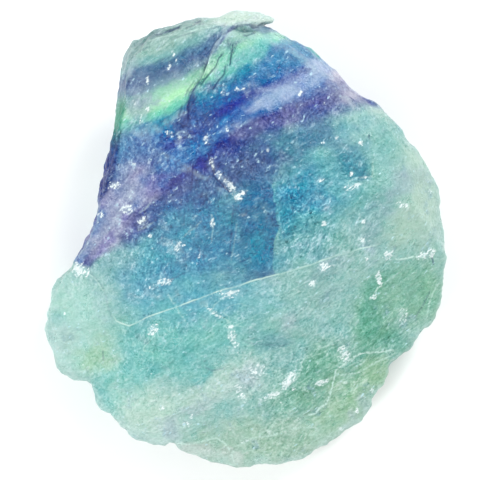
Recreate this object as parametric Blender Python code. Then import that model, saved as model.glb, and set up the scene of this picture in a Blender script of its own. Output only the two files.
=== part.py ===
"""Rough chunk of banded fluorite, lying on its flat broken underside.

One solid, one object. The stone is a thick, broken slab about 59 mm long,
52 mm wide and 22 mm thick. Its upper side is a worn plateau with a curved
crease across it, and it slopes away from that crease to thin, scalloped rims
at the lower left, bottom and lower right. The left side and the top end are
steep broken walls. The underside is undercut all round and ends in one flat
face at Z = 0, which the stone lies on.

Frame: origin under the middle of the stone's box, on the flat face.
+Y runs along the stone's length, +X across it, +Z up through its thickness.
Shape functions work in millimetres; the mesh is made in metres.
"""

import math

import bmesh
import bpy
import numpy as np

# ---------------------------------------------------------------- dimensions
NAME = "fluorite"                 # the one piece
COLLECTION = "rough_fluorite_chunk"
CUTTERS = "rough_fluorite_chunk_cutters"

MM = 0.001                        # millimetres to metres
LENGTH = 59.4                     # along Y, mm
WIDTH = 52.5                      # along X, mm
PLATEAU = 22.6                    # height of the plateau near the middle, mm
CORE_HEIGHT = 7.5                 # height of the disc the surface is cast from
CORE_SHARE = 0.72                 # that disc's radius, as a share of the rim's
SPHERE_LEVEL = 6                  # subdivisions of the starting icosphere
KEEP_FACES = 0.33                 # share of the faces that Decimate leaves
EDGE_ROUND = 0.7                  # how far broken edges are rounded, mm
SEED = 11                         # for the surface roughness

# Rim of the stone seen from above, clockwise from the upper left, in mm
# from the middle. The small lobe at the top (x -3.8 to 4.2) is a loose-edged
# flake; LEAN tips it over to the right.
RIM = [
    (-15.9, 19.6), (-15.8, 21.2), (-15.5, 23.0), (-15.1, 24.1), (-14.4, 25.1),
    (-13.2, 26.1), (-12.0, 26.8), (-10.7, 27.4), (-9.4, 27.9), (-8.0, 28.3),
    (-6.0, 28.5), (-5.1, 28.8), (-3.8, 28.7), (-3.1, 28.8), (-2.7, 29.1),
    (-2.1, 29.5), (-1.6, 29.7), (-0.8, 29.6), (-0.2, 29.45), (0.5, 29.4),
    (1.2, 29.1), (1.9, 28.8), (2.3, 28.5), (2.5, 28.15), (2.75, 27.7),
    (3.2, 27.5), (4.4, 27.1), (5.4, 26.5), (6.2, 26.0), (7.0, 25.7), (7.9, 25.2), (8.8, 24.8),
    (9.4, 24.1), (11.0, 22.5), (12.7, 20.7), (13.6, 19.8), (14.5, 19.0),
    (15.3, 18.4), (17.5, 17.2), (18.3, 16.5), (19.3, 15.5), (20.6, 14.3),
    (21.1, 13.4), (21.8, 12.3), (22.2, 11.7), (22.6, 10.8), (23.3, 9.9),
    (24.2, 8.3), (24.8, 7.4), (25.3, 6.6), (25.5, 5.6), (25.5, 4.3),
    (25.8, 2.5), (26.2, 1.3), (26.2, 0.1), (26.1, -0.8), (26.2, -2.0),
    (26.1, -3.8), (26.3, -5.5), (26.3, -7.7), (26.2, -9.0), (25.8, -9.5),
    (25.6, -10.4), (24.5, -11.4), (23.7, -11.7), (23.2, -12.1), (22.7, -13.1),
    (21.8, -14.2), (21.1, -14.6), (20.6, -15.1), (19.3, -15.8), (19.0, -16.5),
    (18.9, -17.6), (18.4, -18.7), (17.6, -19.4), (16.6, -20.5), (16.6, -21.4),
    (16.2, -22.6), (15.4, -23.7), (14.0, -24.4), (13.4, -24.7), (12.8, -25.5),
    (11.4, -26.4), (10.1, -27.2), (8.9, -28.1), (7.5, -28.6), (6.4, -28.7),
    (5.4, -29.4), (4.2, -29.6), (2.8, -29.3), (1.5, -29.3), (0.3, -29.6),
    (-0.6, -29.8), (-2.4, -29.4), (-4.2, -28.9), (-6.0, -28.1), (-7.9, -27.6),
    (-8.5, -27.1), (-9.0, -26.5), (-9.5, -26.4), (-10.0, -26.9), (-10.9, -26.8),
    (-12.5, -26.3), (-14.0, -26.0), (-14.8, -25.5), (-15.3, -24.8),
    (-16.1, -24.3), (-16.3, -23.6), (-17.2, -22.6), (-18.4, -22.0),
    (-18.9, -21.3), (-19.1, -20.0), (-19.6, -18.7), (-20.3, -18.2),
    (-21.9, -18.1), (-22.7, -17.4), (-23.6, -17.2), (-24.2, -16.5),
    (-25.0, -15.3), (-25.8, -13.9), (-26.3, -12.6), (-26.1, -11.6),
    (-25.3, -10.3), (-25.2, -9.4), (-24.8, -7.9), (-24.6, -6.4), (-24.1, -5.1),
    (-23.5, -4.4), (-22.6, -3.9), (-22.1, -3.4), (-21.9, -2.7), (-21.4, -2.0),
    (-20.6, -1.0), (-20.0, 0.2), (-19.4, 1.6), (-18.8, 3.2), (-18.7, 4.5),
    (-18.5, 6.4), (-17.9, 8.3), (-17.4, 10.0), (-16.8, 11.6), (-16.5, 12.9),
    (-16.4, 14.7), (-16.1, 17.2),
]
LEAN = 1.9                        # the flake's tip leans this far over, mm

# Height of the widest line of the side walls, and how much the wall draws in
# per millimetre above and below it, by direction (degrees from +X).
RIM_ANGLE = [0, 25, 50, 75, 95, 120, 140, 165, 185, 205, 225, 250, 275, 300, 330]
RIM_HEIGHT = [8.8, 9.6, 10.6, 12.6, 13.4, 12.2, 9.8, 8.6, 7.4, 5.7, 5.6, 5.6, 5.6, 6.4, 8.2]
DRAW_ABOVE = [0.34, 0.30, 0.26, 0.30, 0.34, 0.26, 0.13, 0.12, 0.26, 0.42, 0.38, 0.38, 0.40, 0.42, 0.40]
DRAW_BELOW = [0.40, 0.26, 0.18, 0.25, 0.34, 0.26, 0.16, 0.20, 0.38, 0.72, 0.62, 0.54, 0.64, 0.50, 0.46]
RIM_SOFT = [2.8, 3.2, 3.0, 2.0, 1.6, 2.6, 3.0, 2.6, 1.4, 0.8, 0.8, 0.8, 0.9, 1.0, 1.8]
RIM_BAND = 2.2                    # the rim's notches fade out over this height
RIM_CALM = 14                     # degrees over which they are smoothed away

# Creases of the upper side, as lines in plan (mm). Each face falls away from
# the plateau beyond its line.
CREASE_ARC = [(-24.0, -7.6), (-17.0, -9.0), (-16.3, -10.4), (-14.6, -11.0),
              (-12.0, -9.7), (-8.1, -8.3), (-3.6, -6.6), (2.3, -4.8),
              (7.5, -3.4), (12.7, -1.6), (17.9, -0.3), (20.5, -1.9),
              (23.1, -2.1), (26.5, -2.7)]
CREASE_LOBE = [(-21.8, -2.7), (-19.6, -3.5), (-18.5, -5.7), (-17.9, -7.3),
               (-17.0, -9.0), (-16.0, -14.0), (-17.0, -26.0)]
CREASE_LOWER_RIGHT = [(18.5, 0.0), (17.6, -5.1), (16.6, -7.7), (14.6, -11.6),
                      (12.7, -14.2), (10.7, -16.8), (6.0, -24.0), (3.0, -30.0)]
CREASE_RIGHT = [(9.0, 27.0), (14.0, 19.0), (19.0, 12.0), (21.5, 4.0), (22.5, -4.0),
                (22.0, -12.0)]
CREASE_TOP = [(-17.0, 20.5), (-15.0, 22.4), (-12.0, 24.5), (-8.0, 26.1),
              (-3.6, 27.0), (2.3, 26.4), (7.5, 23.8), (11.4, 20.3), (15.0, 17.0)]
CREASE_LEFT_WALL = [(-15.2, 26.0), (-15.2, 17.4), (-15.4, 16.0), (-15.7, 12.0),
                    (-16.2, 10.6), (-16.5, 9.3), (-17.3, 7.8), (-17.6, 6.8),
                    (-18.3, 5.2), (-18.8, 3.4), (-20.3, 0.0)]
CREASE_SHOULDER = [(-2.0, 27.4), (-4.3, 23.5), (-5.3, 20.9), (-6.4, 18.9),
                   (-7.0, 16.6), (-11.0, 13.5), (-16.5, 12.6)]

# Flat broken faces of the sides: the direction each faces (degrees from +X),
# how far it leans (degrees from upright: under the stone if positive, back
# over it if negative), and how far it stands off the rim (mm).
FACETS = [
    (4, 34, 0.1), (27, 26, 0.0), (46, 22, 0.1), (63, 32, 0.2), (84, 36, 0.0),
    (102, 28, 0.1), (122, 30, 0.0), (169, 20, 0.1), (183, 34, 0.3), (207, 50, 0.2),
    (226, 40, 0.1), (243, 50, 0.1), (262, 42, 0.0), (281, 46, 0.1), (303, 38, 0.1),
    (322, 44, 0.2), (345, 32, 0.1),
    (16, 46, 1.7), (55, 42, 1.9), (96, 48, 2.4), (148, 44, 1.6), (196, 58, 1.6),
    (252, 60, 1.6), (312, 56, 1.5),
    (6, -34, 0.3),
    (128, -20, 0.2), (-14, -36, 0.3), (200, -58, 0.3), (216, -62, 0.2),
    (262, -64, 0.2), (300, -60, 0.2), (322, -56, 0.2),
]
FACET_ROUND = 0.25                # rounding of the edges between them, mm


# ------------------------------------------------------------------ functions
def lattice(seed):
    """Random unit gradients and the shuffled table that picks them."""
    rng = np.random.default_rng(seed)
    table = rng.permutation(256)
    table = np.concatenate([table, table])
    g = rng.normal(size=(256, 3))
    return table, g / np.linalg.norm(g, axis=1, keepdims=True)


def noise3(p, table, grads):
    """Gradient noise at the points p (n, 3), about -0.7 to 0.7."""
    cell = np.floor(p).astype(np.int64)
    f = p - cell
    w = f * f * f * (f * (f * 6 - 15) + 10)
    cell &= 255
    total = 0.0
    for dx in (0, 1):
        for dy in (0, 1):
            for dz in (0, 1):
                h = table[table[table[(cell[:, 0] + dx) & 255]
                                + ((cell[:, 1] + dy) & 255)]
                          + ((cell[:, 2] + dz) & 255)]
                off = f - np.array([dx, dy, dz])
                dot = np.einsum("ij,ij->i", grads[h], off)
                wx = w[:, 0] if dx else 1 - w[:, 0]
                wy = w[:, 1] if dy else 1 - w[:, 1]
                wz = w[:, 2] if dz else 1 - w[:, 2]
                total = total + dot * wx * wy * wz
    return total


def smax(a, b, k):
    """The larger of a and b, rounded over a width k."""
    h = np.clip(0.5 + 0.5 * (a - b) / k, 0.0, 1.0)
    return b + (a - b) * h + k * h * (1.0 - h)


def ramp(d, k):
    """0 where d is negative, d where it is positive, rounded over k."""
    return smax(d, np.zeros_like(d), k)


def smoothstep(a, b, x):
    t = np.clip((x - a) / (b - a), 0.0, 1.0)
    return t * t * (3 - 2 * t)


def by_angle(values, theta, angles=RIM_ANGLE):
    """A value given at angles round the stone, smoothly between them."""
    a = np.radians(np.array(list(angles) + [angles[0] + 360.0]))
    v = np.array(list(values) + [values[0]])
    t = np.mod(theta - a[0], 2 * np.pi) + a[0]
    i = np.clip(np.searchsorted(a, t, side="right") - 1, 0, len(a) - 2)
    f = (t - a[i]) / (a[i + 1] - a[i])
    f = f * f * (3 - 2 * f)
    return v[i] * (1 - f) + v[i + 1] * f


def rim_radius(theta):
    """Distance from the middle to the rim line in the direction theta."""
    pts = np.array(RIM)
    a = np.arctan2(pts[:, 1], pts[:, 0])
    order = np.argsort(a)
    a, r = a[order], np.hypot(pts[:, 0], pts[:, 1])[order]
    a = np.concatenate([a[-1:] - 2 * np.pi, a, a[:1] + 2 * np.pi])
    r = np.concatenate([r[-1:], r, r[:1]])
    return np.interp(theta, a, r)


def support(degrees):
    """How far the rim reaches in a direction, and its height where it does."""
    a = math.radians(degrees)
    pts = np.array(RIM)
    far = pts @ np.array([math.cos(a), math.sin(a)])
    x, y = pts[np.argmax(far)]
    height = by_angle(RIM_HEIGHT, np.array([math.atan2(y, x)]))[0]
    return float(far.max()), float(height)


def facet_planes():
    """Each facet as a unit normal and an offset, in mm."""
    planes = []
    for facing, lean, off in FACETS:
        a, b = math.radians(facing), math.radians(lean)
        reach, height = support(facing)
        n = (math.cos(a) * math.cos(b), math.sin(a) * math.cos(b), -math.sin(b))
        planes.append((n, (reach + off) * math.cos(b) + n[2] * height))
    return planes


def calm_radius(theta):
    """The rim radius with its notches and scallops smoothed away."""
    total, weights = 0.0, 0.0
    for k in range(-4, 5):
        w = math.exp(-0.5 * (k / 2.0) ** 2)
        t = theta + math.radians(RIM_CALM) * k / 4.0
        t = np.mod(t + np.pi, 2 * np.pi) - np.pi
        total = total + w * rim_radius(t)
        weights += w
    return total / weights


def side_of(line, x, y):
    """Signed distance to an open line in plan, positive on its right side
    as it is walked from its first point to its last."""
    pts = np.array(line)
    best = np.full(x.shape, 1e9)
    sign = np.ones(x.shape)
    last = len(pts) - 2
    for i in range(len(pts) - 1):
        (ax, ay), (bx, by) = pts[i], pts[i + 1]
        ux, uy = bx - ax, by - ay
        t = ((x - ax) * ux + (y - ay) * uy) / (ux * ux + uy * uy)
        lo = -1e3 if i == 0 else 0.0
        hi = 1e3 if i == last else 1.0
        t = np.clip(t, lo, hi)
        qx, qy = x - (ax + t * ux), y - (ay + t * uy)
        d = np.hypot(qx, qy)
        s = np.sign(qx * uy - qy * ux)
        closer = d < best - 1e-9
        best = np.where(closer, d, best)
        sign = np.where(closer, s, sign)
    return best * np.where(sign == 0, 1, sign)


def upper_side(x, y):
    """Height of the upper side over the plan position (x, y), in mm."""
    z = PLATEAU - 0.07 * y - 0.0050 * x * x - 0.0016 * (y - 2) ** 2 - 0.03 * x
    z = z - 0.26 * ramp(-x - 5.0 - 0.10 * y, 6.0)
    z = z - 0.22 * ramp(x - 9.0 + 0.15 * y, 7.0)
    z = z - 0.46 * ramp(-0.6 * x - 0.8 * y - 20.0, 3.0)
    drop = np.zeros_like(z)
    d = side_of(CREASE_ARC, x, y)
    drop = smax(drop, 0.40 * d + 0.0125 * np.clip(d, 0, 60) ** 2, EDGE_ROUND * 0.35)
    d = side_of(CREASE_LOBE, x, y)
    drop = smax(drop, 0.78 * d + 0.006 * np.clip(d, 0, 60) ** 2, EDGE_ROUND)
    d = -side_of(CREASE_LOWER_RIGHT, x, y)
    e = side_of(CREASE_ARC, x, y)
    drop = smax(drop, 0.62 * d + 0.10 * e, EDGE_ROUND * 1.6)
    d = -side_of(CREASE_RIGHT, x, y)
    drop = smax(drop, 0.70 * d, EDGE_ROUND * 1.6)
    d = -side_of(CREASE_TOP, x, y)
    drop = smax(drop, 1.15 * d, EDGE_ROUND * 1.6)
    d = side_of(CREASE_LEFT_WALL, x, y)
    drop = smax(drop, 3.2 * d, EDGE_ROUND * 0.8)
    z = z - drop
    d = side_of(CREASE_SHOULDER, x, y)
    fade = smoothstep(12.5, 18.5, y) * np.exp(-(np.clip(d, 0, 60) / 9.0) ** 2)
    wide = 0.35 + 1.2 * smoothstep(20.6, 15.6, y)
    z = z - 0.95 * smoothstep(-0.12, wide, d) * fade - 0.20 * ramp(d, 1.0) * fade
    return z


def solid(p, noise):
    """Below zero inside the stone, above zero outside, in mm."""
    x, y, z = p[:, 0], p[:, 1], p[:, 2]
    r, theta = np.hypot(x, y), np.arctan2(y, x)
    rim_z = by_angle(RIM_HEIGHT, theta)
    above = np.clip(z - rim_z, 0, 40)
    below = np.clip(rim_z - z, 0, 40)
    soft = by_angle(RIM_SOFT, theta)
    calm = calm_radius(theta)
    band = np.exp(-((above + below) / RIM_BAND) ** 2)
    wall = r - (calm + (rim_radius(theta) - calm) * band)
    wall = wall + by_angle(DRAW_ABOVE, theta) * above * above / (above + soft)
    wall = wall + by_angle(DRAW_BELOW, theta) * below * below / (below + soft)
    top = (z - upper_side(x, y)) * 0.85
    f = smax(wall, top, EDGE_ROUND)
    for n, offset in facet_planes():
        f = smax(f, n[0] * x + n[1] * y + n[2] * z - offset, FACET_ROUND)
    f = smax(f, -(z + 2.5), 0.5)
    table, grads = noise
    q = p * np.array([1.0, 1.0, 1.25])
    rough = 0.80 * noise3(q / 8.5 + 3.1, table, grads)
    rough += 0.42 * np.abs(noise3(q / 4.2 + 9.7, table, grads))
    rough += 0.20 * noise3(q / 2.0 + 21.3, table, grads)
    calm = smoothstep(1.2, 5.0, np.abs(wall))      # keeps the rim line true
    return f + rough * (0.30 + 0.70 * calm)


def cast(directions, noise):
    """Where a line from the core disc, in each direction, leaves the stone."""
    rho = np.hypot(directions[:, 0], directions[:, 1])
    theta = np.arctan2(directions[:, 1], directions[:, 0])
    c, s = np.cos(theta), np.sin(theta)
    reach = CORE_SHARE * rim_radius(theta) * rho
    start = np.stack([reach * c, reach * s, np.full_like(rho, CORE_HEIGHT)], axis=1)
    out = rho ** 3
    way = np.stack([out * c, out * s, directions[:, 2]], axis=1)
    way /= np.linalg.norm(way, axis=1, keepdims=True)
    near = np.zeros_like(rho)
    far = np.full_like(rho, 30.0)
    step = 0.0
    hit = np.zeros(rho.shape, bool)
    while step < 29.5:                              # first crossing outwards
        step += 0.5
        outside = solid(start + way * step, noise) > 0
        far = np.where(outside & ~hit, step, far)
        hit |= outside
        near = np.where(~hit, step, near)
        if hit.all():
            break
    for _ in range(14):
        mid = 0.5 * (near + far)
        outside = solid(start + way * mid[:, None], noise) > 0
        far = np.where(outside, mid, far)
        near = np.where(outside, near, mid)
    return start + way * (0.5 * (near + far))[:, None]


def lean_flake(p):
    """Tips the small lobe at the top end over to the right."""
    q = p.copy()
    lift = smoothstep(27.6, 28.5, p[:, 1])
    span = smoothstep(-4.0, 2.0, p[:, 0])
    q[:, 0] += LEAN * lift * span
    return q


# ---------------------------------------------------------------- the model
def clear_scene():
    for obj in list(bpy.data.objects):
        bpy.data.objects.remove(obj, do_unlink=True)
    for col in list(bpy.data.collections):
        bpy.data.collections.remove(col)


def new_collection(name):
    col = bpy.data.collections.new(name)
    bpy.context.scene.collection.children.link(col)
    return col


def fluorite_material():
    mat = bpy.data.materials.new("banded_fluorite")
    mat.use_nodes = True
    bsdf = mat.node_tree.nodes["Principled BSDF"]
    bsdf.inputs["Base Color"].default_value = (0.16, 0.42, 0.42, 1.0)
    bsdf.inputs["Metallic"].default_value = 0.0
    bsdf.inputs["Roughness"].default_value = 0.35
    bsdf.inputs["IOR"].default_value = 1.434
    bsdf.inputs["Transmission Weight"].default_value = 0.35
    mat.diffuse_color = (0.16, 0.42, 0.42, 1.0)
    return mat


def make_stone(col):
    noise = lattice(SEED)
    bm = bmesh.new()
    bmesh.ops.create_icosphere(bm, subdivisions=SPHERE_LEVEL, radius=1.0)
    bm.verts.ensure_lookup_table()
    directions = np.array([v.co[:] for v in bm.verts], dtype=np.float64)
    directions /= np.linalg.norm(directions, axis=1, keepdims=True)
    points = lean_flake(cast(directions, noise))
    for v, p in zip(bm.verts, points):
        v.co = (p[0] * MM, p[1] * MM, p[2] * MM)
    mesh = bpy.data.meshes.new(NAME)
    bm.to_mesh(mesh)
    bm.free()

    stone = bpy.data.objects.new(NAME, mesh)
    col.objects.link(stone)
    thin = stone.modifiers.new("Thin out", "DECIMATE")
    thin.decimate_type = "COLLAPSE"
    thin.ratio = KEEP_FACES
    bpy.context.view_layer.update()
    deps = bpy.context.evaluated_depsgraph_get()
    thinned = bpy.data.meshes.new_from_object(stone.evaluated_get(deps))
    stone.modifiers.clear()
    stone.data = thinned
    bpy.data.meshes.remove(mesh)
    thinned.name = NAME

    # the flat broken face that the stone lies on
    bm = bmesh.new()
    bm.from_mesh(thinned)
    geom = bm.verts[:] + bm.edges[:] + bm.faces[:]
    cut = bmesh.ops.bisect_plane(bm, geom=geom, dist=1e-7, plane_co=(0, 0, 0),
                                 plane_no=(0, 0, -1), clear_outer=True)
    rim = [e for e in cut["geom_cut"] if isinstance(e, bmesh.types.BMEdge)]
    bmesh.ops.contextual_create(bm, geom=rim)
    bmesh.ops.dissolve_degenerate(bm, dist=2e-5, edges=bm.edges[:])
    bmesh.ops.triangulate(bm, faces=bm.faces[:])

    # the origin goes under the middle of the stone's box
    xs = [v.co.x for v in bm.verts]
    ys = [v.co.y for v in bm.verts]
    sx = WIDTH * MM / (max(xs) - min(xs))
    sy = LENGTH * MM / (max(ys) - min(ys))
    cx, cy = (max(xs) + min(xs)) / 2, (max(ys) + min(ys)) / 2
    for v in bm.verts:
        v.co.x = (v.co.x - cx) * sx
        v.co.y = (v.co.y - cy) * sy
        if abs(v.co.z) < 2e-6:
            v.co.z = 0.0
    bmesh.ops.recalc_face_normals(bm, faces=bm.faces[:])
    bm.to_mesh(thinned)
    bm.free()
    thinned.update()
    thinned.materials.clear()
    thinned.materials.append(fluorite_material())
    return stone


def main():
    clear_scene()
    col = new_collection(COLLECTION)
    make_stone(col)


main()
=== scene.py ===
"""Rough chunk of banded fluorite: the finished surface, its colour zones and
the studio it lies in. Lengths are worked out in millimetres and written to
the mesh in metres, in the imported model's frame (+Z up, base at Z = 0)."""
import math

import bmesh
import bpy
import numpy as np
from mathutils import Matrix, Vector
from mathutils.bvhtree import BVHTree


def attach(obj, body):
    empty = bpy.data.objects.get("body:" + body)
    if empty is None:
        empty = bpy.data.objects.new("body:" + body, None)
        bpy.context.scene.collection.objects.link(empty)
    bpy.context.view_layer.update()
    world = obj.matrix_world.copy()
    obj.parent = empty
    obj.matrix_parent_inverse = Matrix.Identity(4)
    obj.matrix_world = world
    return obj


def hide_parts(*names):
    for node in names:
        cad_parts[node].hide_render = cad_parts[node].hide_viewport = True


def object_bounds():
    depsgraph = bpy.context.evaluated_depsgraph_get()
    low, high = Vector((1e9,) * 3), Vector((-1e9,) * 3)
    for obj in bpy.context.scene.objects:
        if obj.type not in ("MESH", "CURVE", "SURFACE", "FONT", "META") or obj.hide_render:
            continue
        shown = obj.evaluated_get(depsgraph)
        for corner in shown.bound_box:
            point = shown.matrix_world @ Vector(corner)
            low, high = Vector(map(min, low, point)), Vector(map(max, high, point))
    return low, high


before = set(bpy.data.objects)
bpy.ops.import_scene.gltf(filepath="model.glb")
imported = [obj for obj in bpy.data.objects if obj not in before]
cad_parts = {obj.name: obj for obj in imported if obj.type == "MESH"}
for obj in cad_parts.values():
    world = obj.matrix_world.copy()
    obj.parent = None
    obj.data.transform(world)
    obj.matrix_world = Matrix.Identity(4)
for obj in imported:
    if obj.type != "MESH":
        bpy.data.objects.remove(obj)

CAD_BOX = [list(map(float, c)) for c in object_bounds()]

MM = 0.001
SEED = 11

# --------------------------------------------------------------- stone, plan
# Rim seen from above, clockwise from the upper left, mm from the middle.
RIM = [
    (-15.9, 19.6), (-15.8, 21.2), (-15.5, 23.0), (-15.1, 24.1), (-14.4, 25.1),
    (-13.2, 26.1), (-12.0, 26.8), (-10.7, 27.4), (-9.4, 27.9), (-8.0, 28.3),
    (-6.0, 28.5), (-5.1, 28.8), (-3.8, 28.7), (-3.1, 28.8), (-2.7, 29.1),
    (-2.1, 29.5), (-1.6, 29.7), (-0.8, 29.6), (-0.2, 29.45), (0.5, 29.4),
    (1.2, 29.1), (1.9, 28.8), (2.3, 28.5), (2.5, 28.15), (2.75, 27.7),
    (3.2, 27.5), (4.4, 27.1), (5.4, 26.5), (6.2, 26.0), (7.0, 25.7), (7.9, 25.2), (8.8, 24.8),
    (9.4, 24.1), (11.0, 22.5), (12.7, 20.7), (13.6, 19.8), (14.5, 19.0),
    (15.3, 18.4), (17.5, 17.2), (18.3, 16.5), (19.3, 15.5), (20.6, 14.3),
    (21.1, 13.4), (21.8, 12.3), (22.2, 11.7), (22.6, 10.8), (23.3, 9.9),
    (24.2, 8.3), (24.8, 7.4), (25.3, 6.6), (25.5, 5.6), (25.5, 4.3),
    (25.8, 2.5), (26.2, 1.3), (26.2, 0.1), (26.1, -0.8), (26.2, -2.0),
    (26.1, -3.8), (26.3, -5.5), (26.3, -7.7), (26.2, -9.0), (25.8, -9.5),
    (25.6, -10.4), (24.5, -11.4), (23.7, -11.7), (23.2, -12.1), (22.7, -13.1),
    (21.8, -14.2), (21.1, -14.6), (20.6, -15.1), (19.3, -15.8), (19.0, -16.5),
    (18.9, -17.6), (18.4, -18.7), (17.6, -19.4), (16.6, -20.5), (16.6, -21.4),
    (16.2, -22.6), (15.4, -23.7), (14.0, -24.4), (13.4, -24.7), (12.8, -25.5),
    (11.4, -26.4), (10.1, -27.2), (8.9, -28.1), (7.5, -28.6), (6.4, -28.7),
    (5.4, -29.4), (4.2, -29.6), (2.8, -29.3), (1.5, -29.3), (0.3, -29.6),
    (-0.6, -29.8), (-2.4, -29.4), (-4.2, -28.9), (-6.0, -28.1), (-7.9, -27.6),
    (-8.5, -27.1), (-9.0, -26.5), (-9.5, -26.4), (-10.0, -26.9), (-10.9, -26.8),
    (-12.5, -26.3), (-14.0, -26.0), (-14.8, -25.5), (-15.3, -24.8),
    (-16.1, -24.3), (-16.3, -23.6), (-17.2, -22.6), (-18.4, -22.0),
    (-18.9, -21.3), (-19.1, -20.0), (-19.6, -18.7), (-20.3, -18.2),
    (-21.9, -18.1), (-22.7, -17.4), (-23.6, -17.2), (-24.2, -16.5),
    (-25.0, -15.3), (-25.8, -13.9), (-26.3, -12.6), (-26.1, -11.6),
    (-25.3, -10.3), (-25.2, -9.4), (-24.8, -7.9), (-24.6, -6.4), (-24.1, -5.1),
    (-23.5, -4.4), (-22.6, -3.9), (-22.1, -3.4), (-21.9, -2.7), (-21.4, -2.0),
    (-20.6, -1.0), (-20.0, 0.2), (-19.4, 1.6), (-18.8, 3.2), (-18.7, 4.5),
    (-18.5, 6.4), (-17.9, 8.3), (-17.4, 10.0), (-16.8, 11.6), (-16.5, 12.9),
    (-16.4, 14.7), (-16.1, 17.2),
]
LEAN = 1.9
PLATEAU = 22.6
EDGE_ROUND = 0.7

RIM_ANGLE = [0, 25, 50, 75, 95, 120, 140, 165, 185, 205, 225, 250, 275, 300, 330]
RIM_HEIGHT = [8.8, 9.6, 10.6, 12.6, 13.4, 12.2, 9.8, 8.6, 7.4, 5.7, 5.6, 5.6, 5.6, 6.4, 8.2]
DRAW_ABOVE = [0.34, 0.30, 0.26, 0.30, 0.34, 0.26, 0.13, 0.12, 0.26, 0.42, 0.38, 0.38, 0.40, 0.42, 0.40]
DRAW_BELOW = [0.40, 0.26, 0.18, 0.25, 0.34, 0.26, 0.16, 0.20, 0.38, 0.72, 0.62, 0.54, 0.64, 0.50, 0.46]
RIM_SOFT = [2.8, 3.2, 3.0, 2.0, 1.6, 2.6, 3.0, 2.6, 1.4, 0.8, 0.8, 0.8, 0.9, 1.0, 1.8]
RIM_BAND = 2.2
RIM_CALM = 14

CREASE_ARC = [(-24.0, -7.6), (-17.0, -9.0), (-16.3, -10.4), (-14.6, -11.0),
              (-12.0, -9.7), (-8.1, -8.3), (-3.6, -6.6), (2.3, -4.8),
              (7.5, -3.4), (12.7, -1.6), (17.9, -0.3), (20.5, -1.9),
              (23.1, -2.1), (26.5, -2.7)]
CREASE_LOBE = [(-21.8, -2.7), (-19.6, -3.5), (-18.5, -5.7), (-17.9, -7.3),
               (-17.0, -9.0), (-16.0, -14.0), (-17.0, -26.0)]
CREASE_LOWER_RIGHT = [(18.5, 0.0), (17.6, -5.1), (16.6, -7.7), (14.6, -11.6),
                      (12.7, -14.2), (10.7, -16.8), (6.0, -24.0), (3.0, -30.0)]
CREASE_RIGHT = [(9.0, 27.0), (14.0, 19.0), (19.0, 12.0), (21.5, 4.0), (22.5, -4.0),
                (22.0, -12.0)]
CREASE_TOP = [(-17.0, 20.5), (-15.0, 22.4), (-12.0, 24.5), (-8.0, 26.1),
              (-3.6, 27.0), (2.3, 26.4), (7.5, 23.8), (11.4, 20.3), (15.0, 17.0)]
CREASE_LEFT_WALL = [(-15.1, 26.0), (-15.0, 18.0), (-15.4, 14.8), (-15.9, 11.5),
                    (-16.3, 8.9), (-17.2, 6.6), (-18.4, 5.0), (-19.0, 3.2), (-20.3, 0.0)]
CREASE_SHOULDER = [(-2.0, 27.4), (-4.3, 23.5), (-5.3, 20.9), (-6.4, 18.9),
                   (-7.0, 16.6), (-11.0, 13.5), (-16.5, 12.6)]
# Broken facets of the sides: the way each faces, how far it leans (under the
# stone if +, back over it if -), and how far it stands off the rim.
FACETS = [
    (4, 34, 0.1), (27, 26, 0.0), (46, 22, 0.1), (63, 32, 0.2), (84, 36, 0.0),
    (102, 28, 0.1), (122, 30, 0.0), (169, 20, 0.1), (183, 34, 0.3), (207, 50, 0.2),
    (226, 40, 0.1), (243, 50, 0.1), (262, 42, 0.0), (281, 46, 0.1), (303, 38, 0.1),
    (322, 44, 0.2), (345, 32, 0.1),
    (16, 46, 1.7), (55, 42, 1.9), (96, 48, 2.4), (148, 44, 1.6), (196, 58, 1.6),
    (252, 60, 1.6), (312, 56, 1.5),
    (6, -34, 0.3),
    (128, -20, 0.2), (-14, -36, 0.3), (200, -58, 0.3), (216, -62, 0.2),
    (262, -64, 0.2), (300, -60, 0.2), (322, -56, 0.2),
]
FACET_ROUND = 0.15


# ----------------------------------------------------------------- functions
def lattice(seed):
    rng = np.random.default_rng(seed)
    table = rng.permutation(256)
    table = np.concatenate([table, table])
    g = rng.normal(size=(256, 3))
    return table, g / np.linalg.norm(g, axis=1, keepdims=True)


TABLE, GRADS = lattice(SEED)


def noise3(p):
    """Gradient noise at the points p (n, 3), about -0.7 to 0.7."""
    cell = np.floor(p).astype(np.int64)
    f = p - cell
    w = f * f * f * (f * (f * 6 - 15) + 10)
    cell &= 255
    total = 0.0
    for dx in (0, 1):
        for dy in (0, 1):
            for dz in (0, 1):
                h = TABLE[TABLE[TABLE[(cell[:, 0] + dx) & 255]
                                + ((cell[:, 1] + dy) & 255)]
                          + ((cell[:, 2] + dz) & 255)]
                off = f - np.array([dx, dy, dz])
                g = GRADS[h]
                dot = g[:, 0] * off[:, 0] + g[:, 1] * off[:, 1] + g[:, 2] * off[:, 2]
                wx = w[:, 0] if dx else 1 - w[:, 0]
                wy = w[:, 1] if dy else 1 - w[:, 1]
                wz = w[:, 2] if dz else 1 - w[:, 2]
                total = total + dot * wx * wy * wz
    return total


def noise2(x, y, scale, shift=0.0):
    p = np.stack([x / scale + shift, y / scale - shift, np.full_like(x, 0.37 + shift)], axis=-1)
    return noise3(p.reshape(-1, 3)).reshape(x.shape)


def smax(a, b, k):
    h = np.clip(0.5 + 0.5 * (a - b) / k, 0.0, 1.0)
    return b + (a - b) * h + k * h * (1.0 - h)


def ramp(d, k):
    return smax(d, np.zeros_like(d), k)


def smoothstep(a, b, x):
    t = np.clip((x - a) / (b - a), 0.0, 1.0)
    return t * t * (3 - 2 * t)


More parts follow.
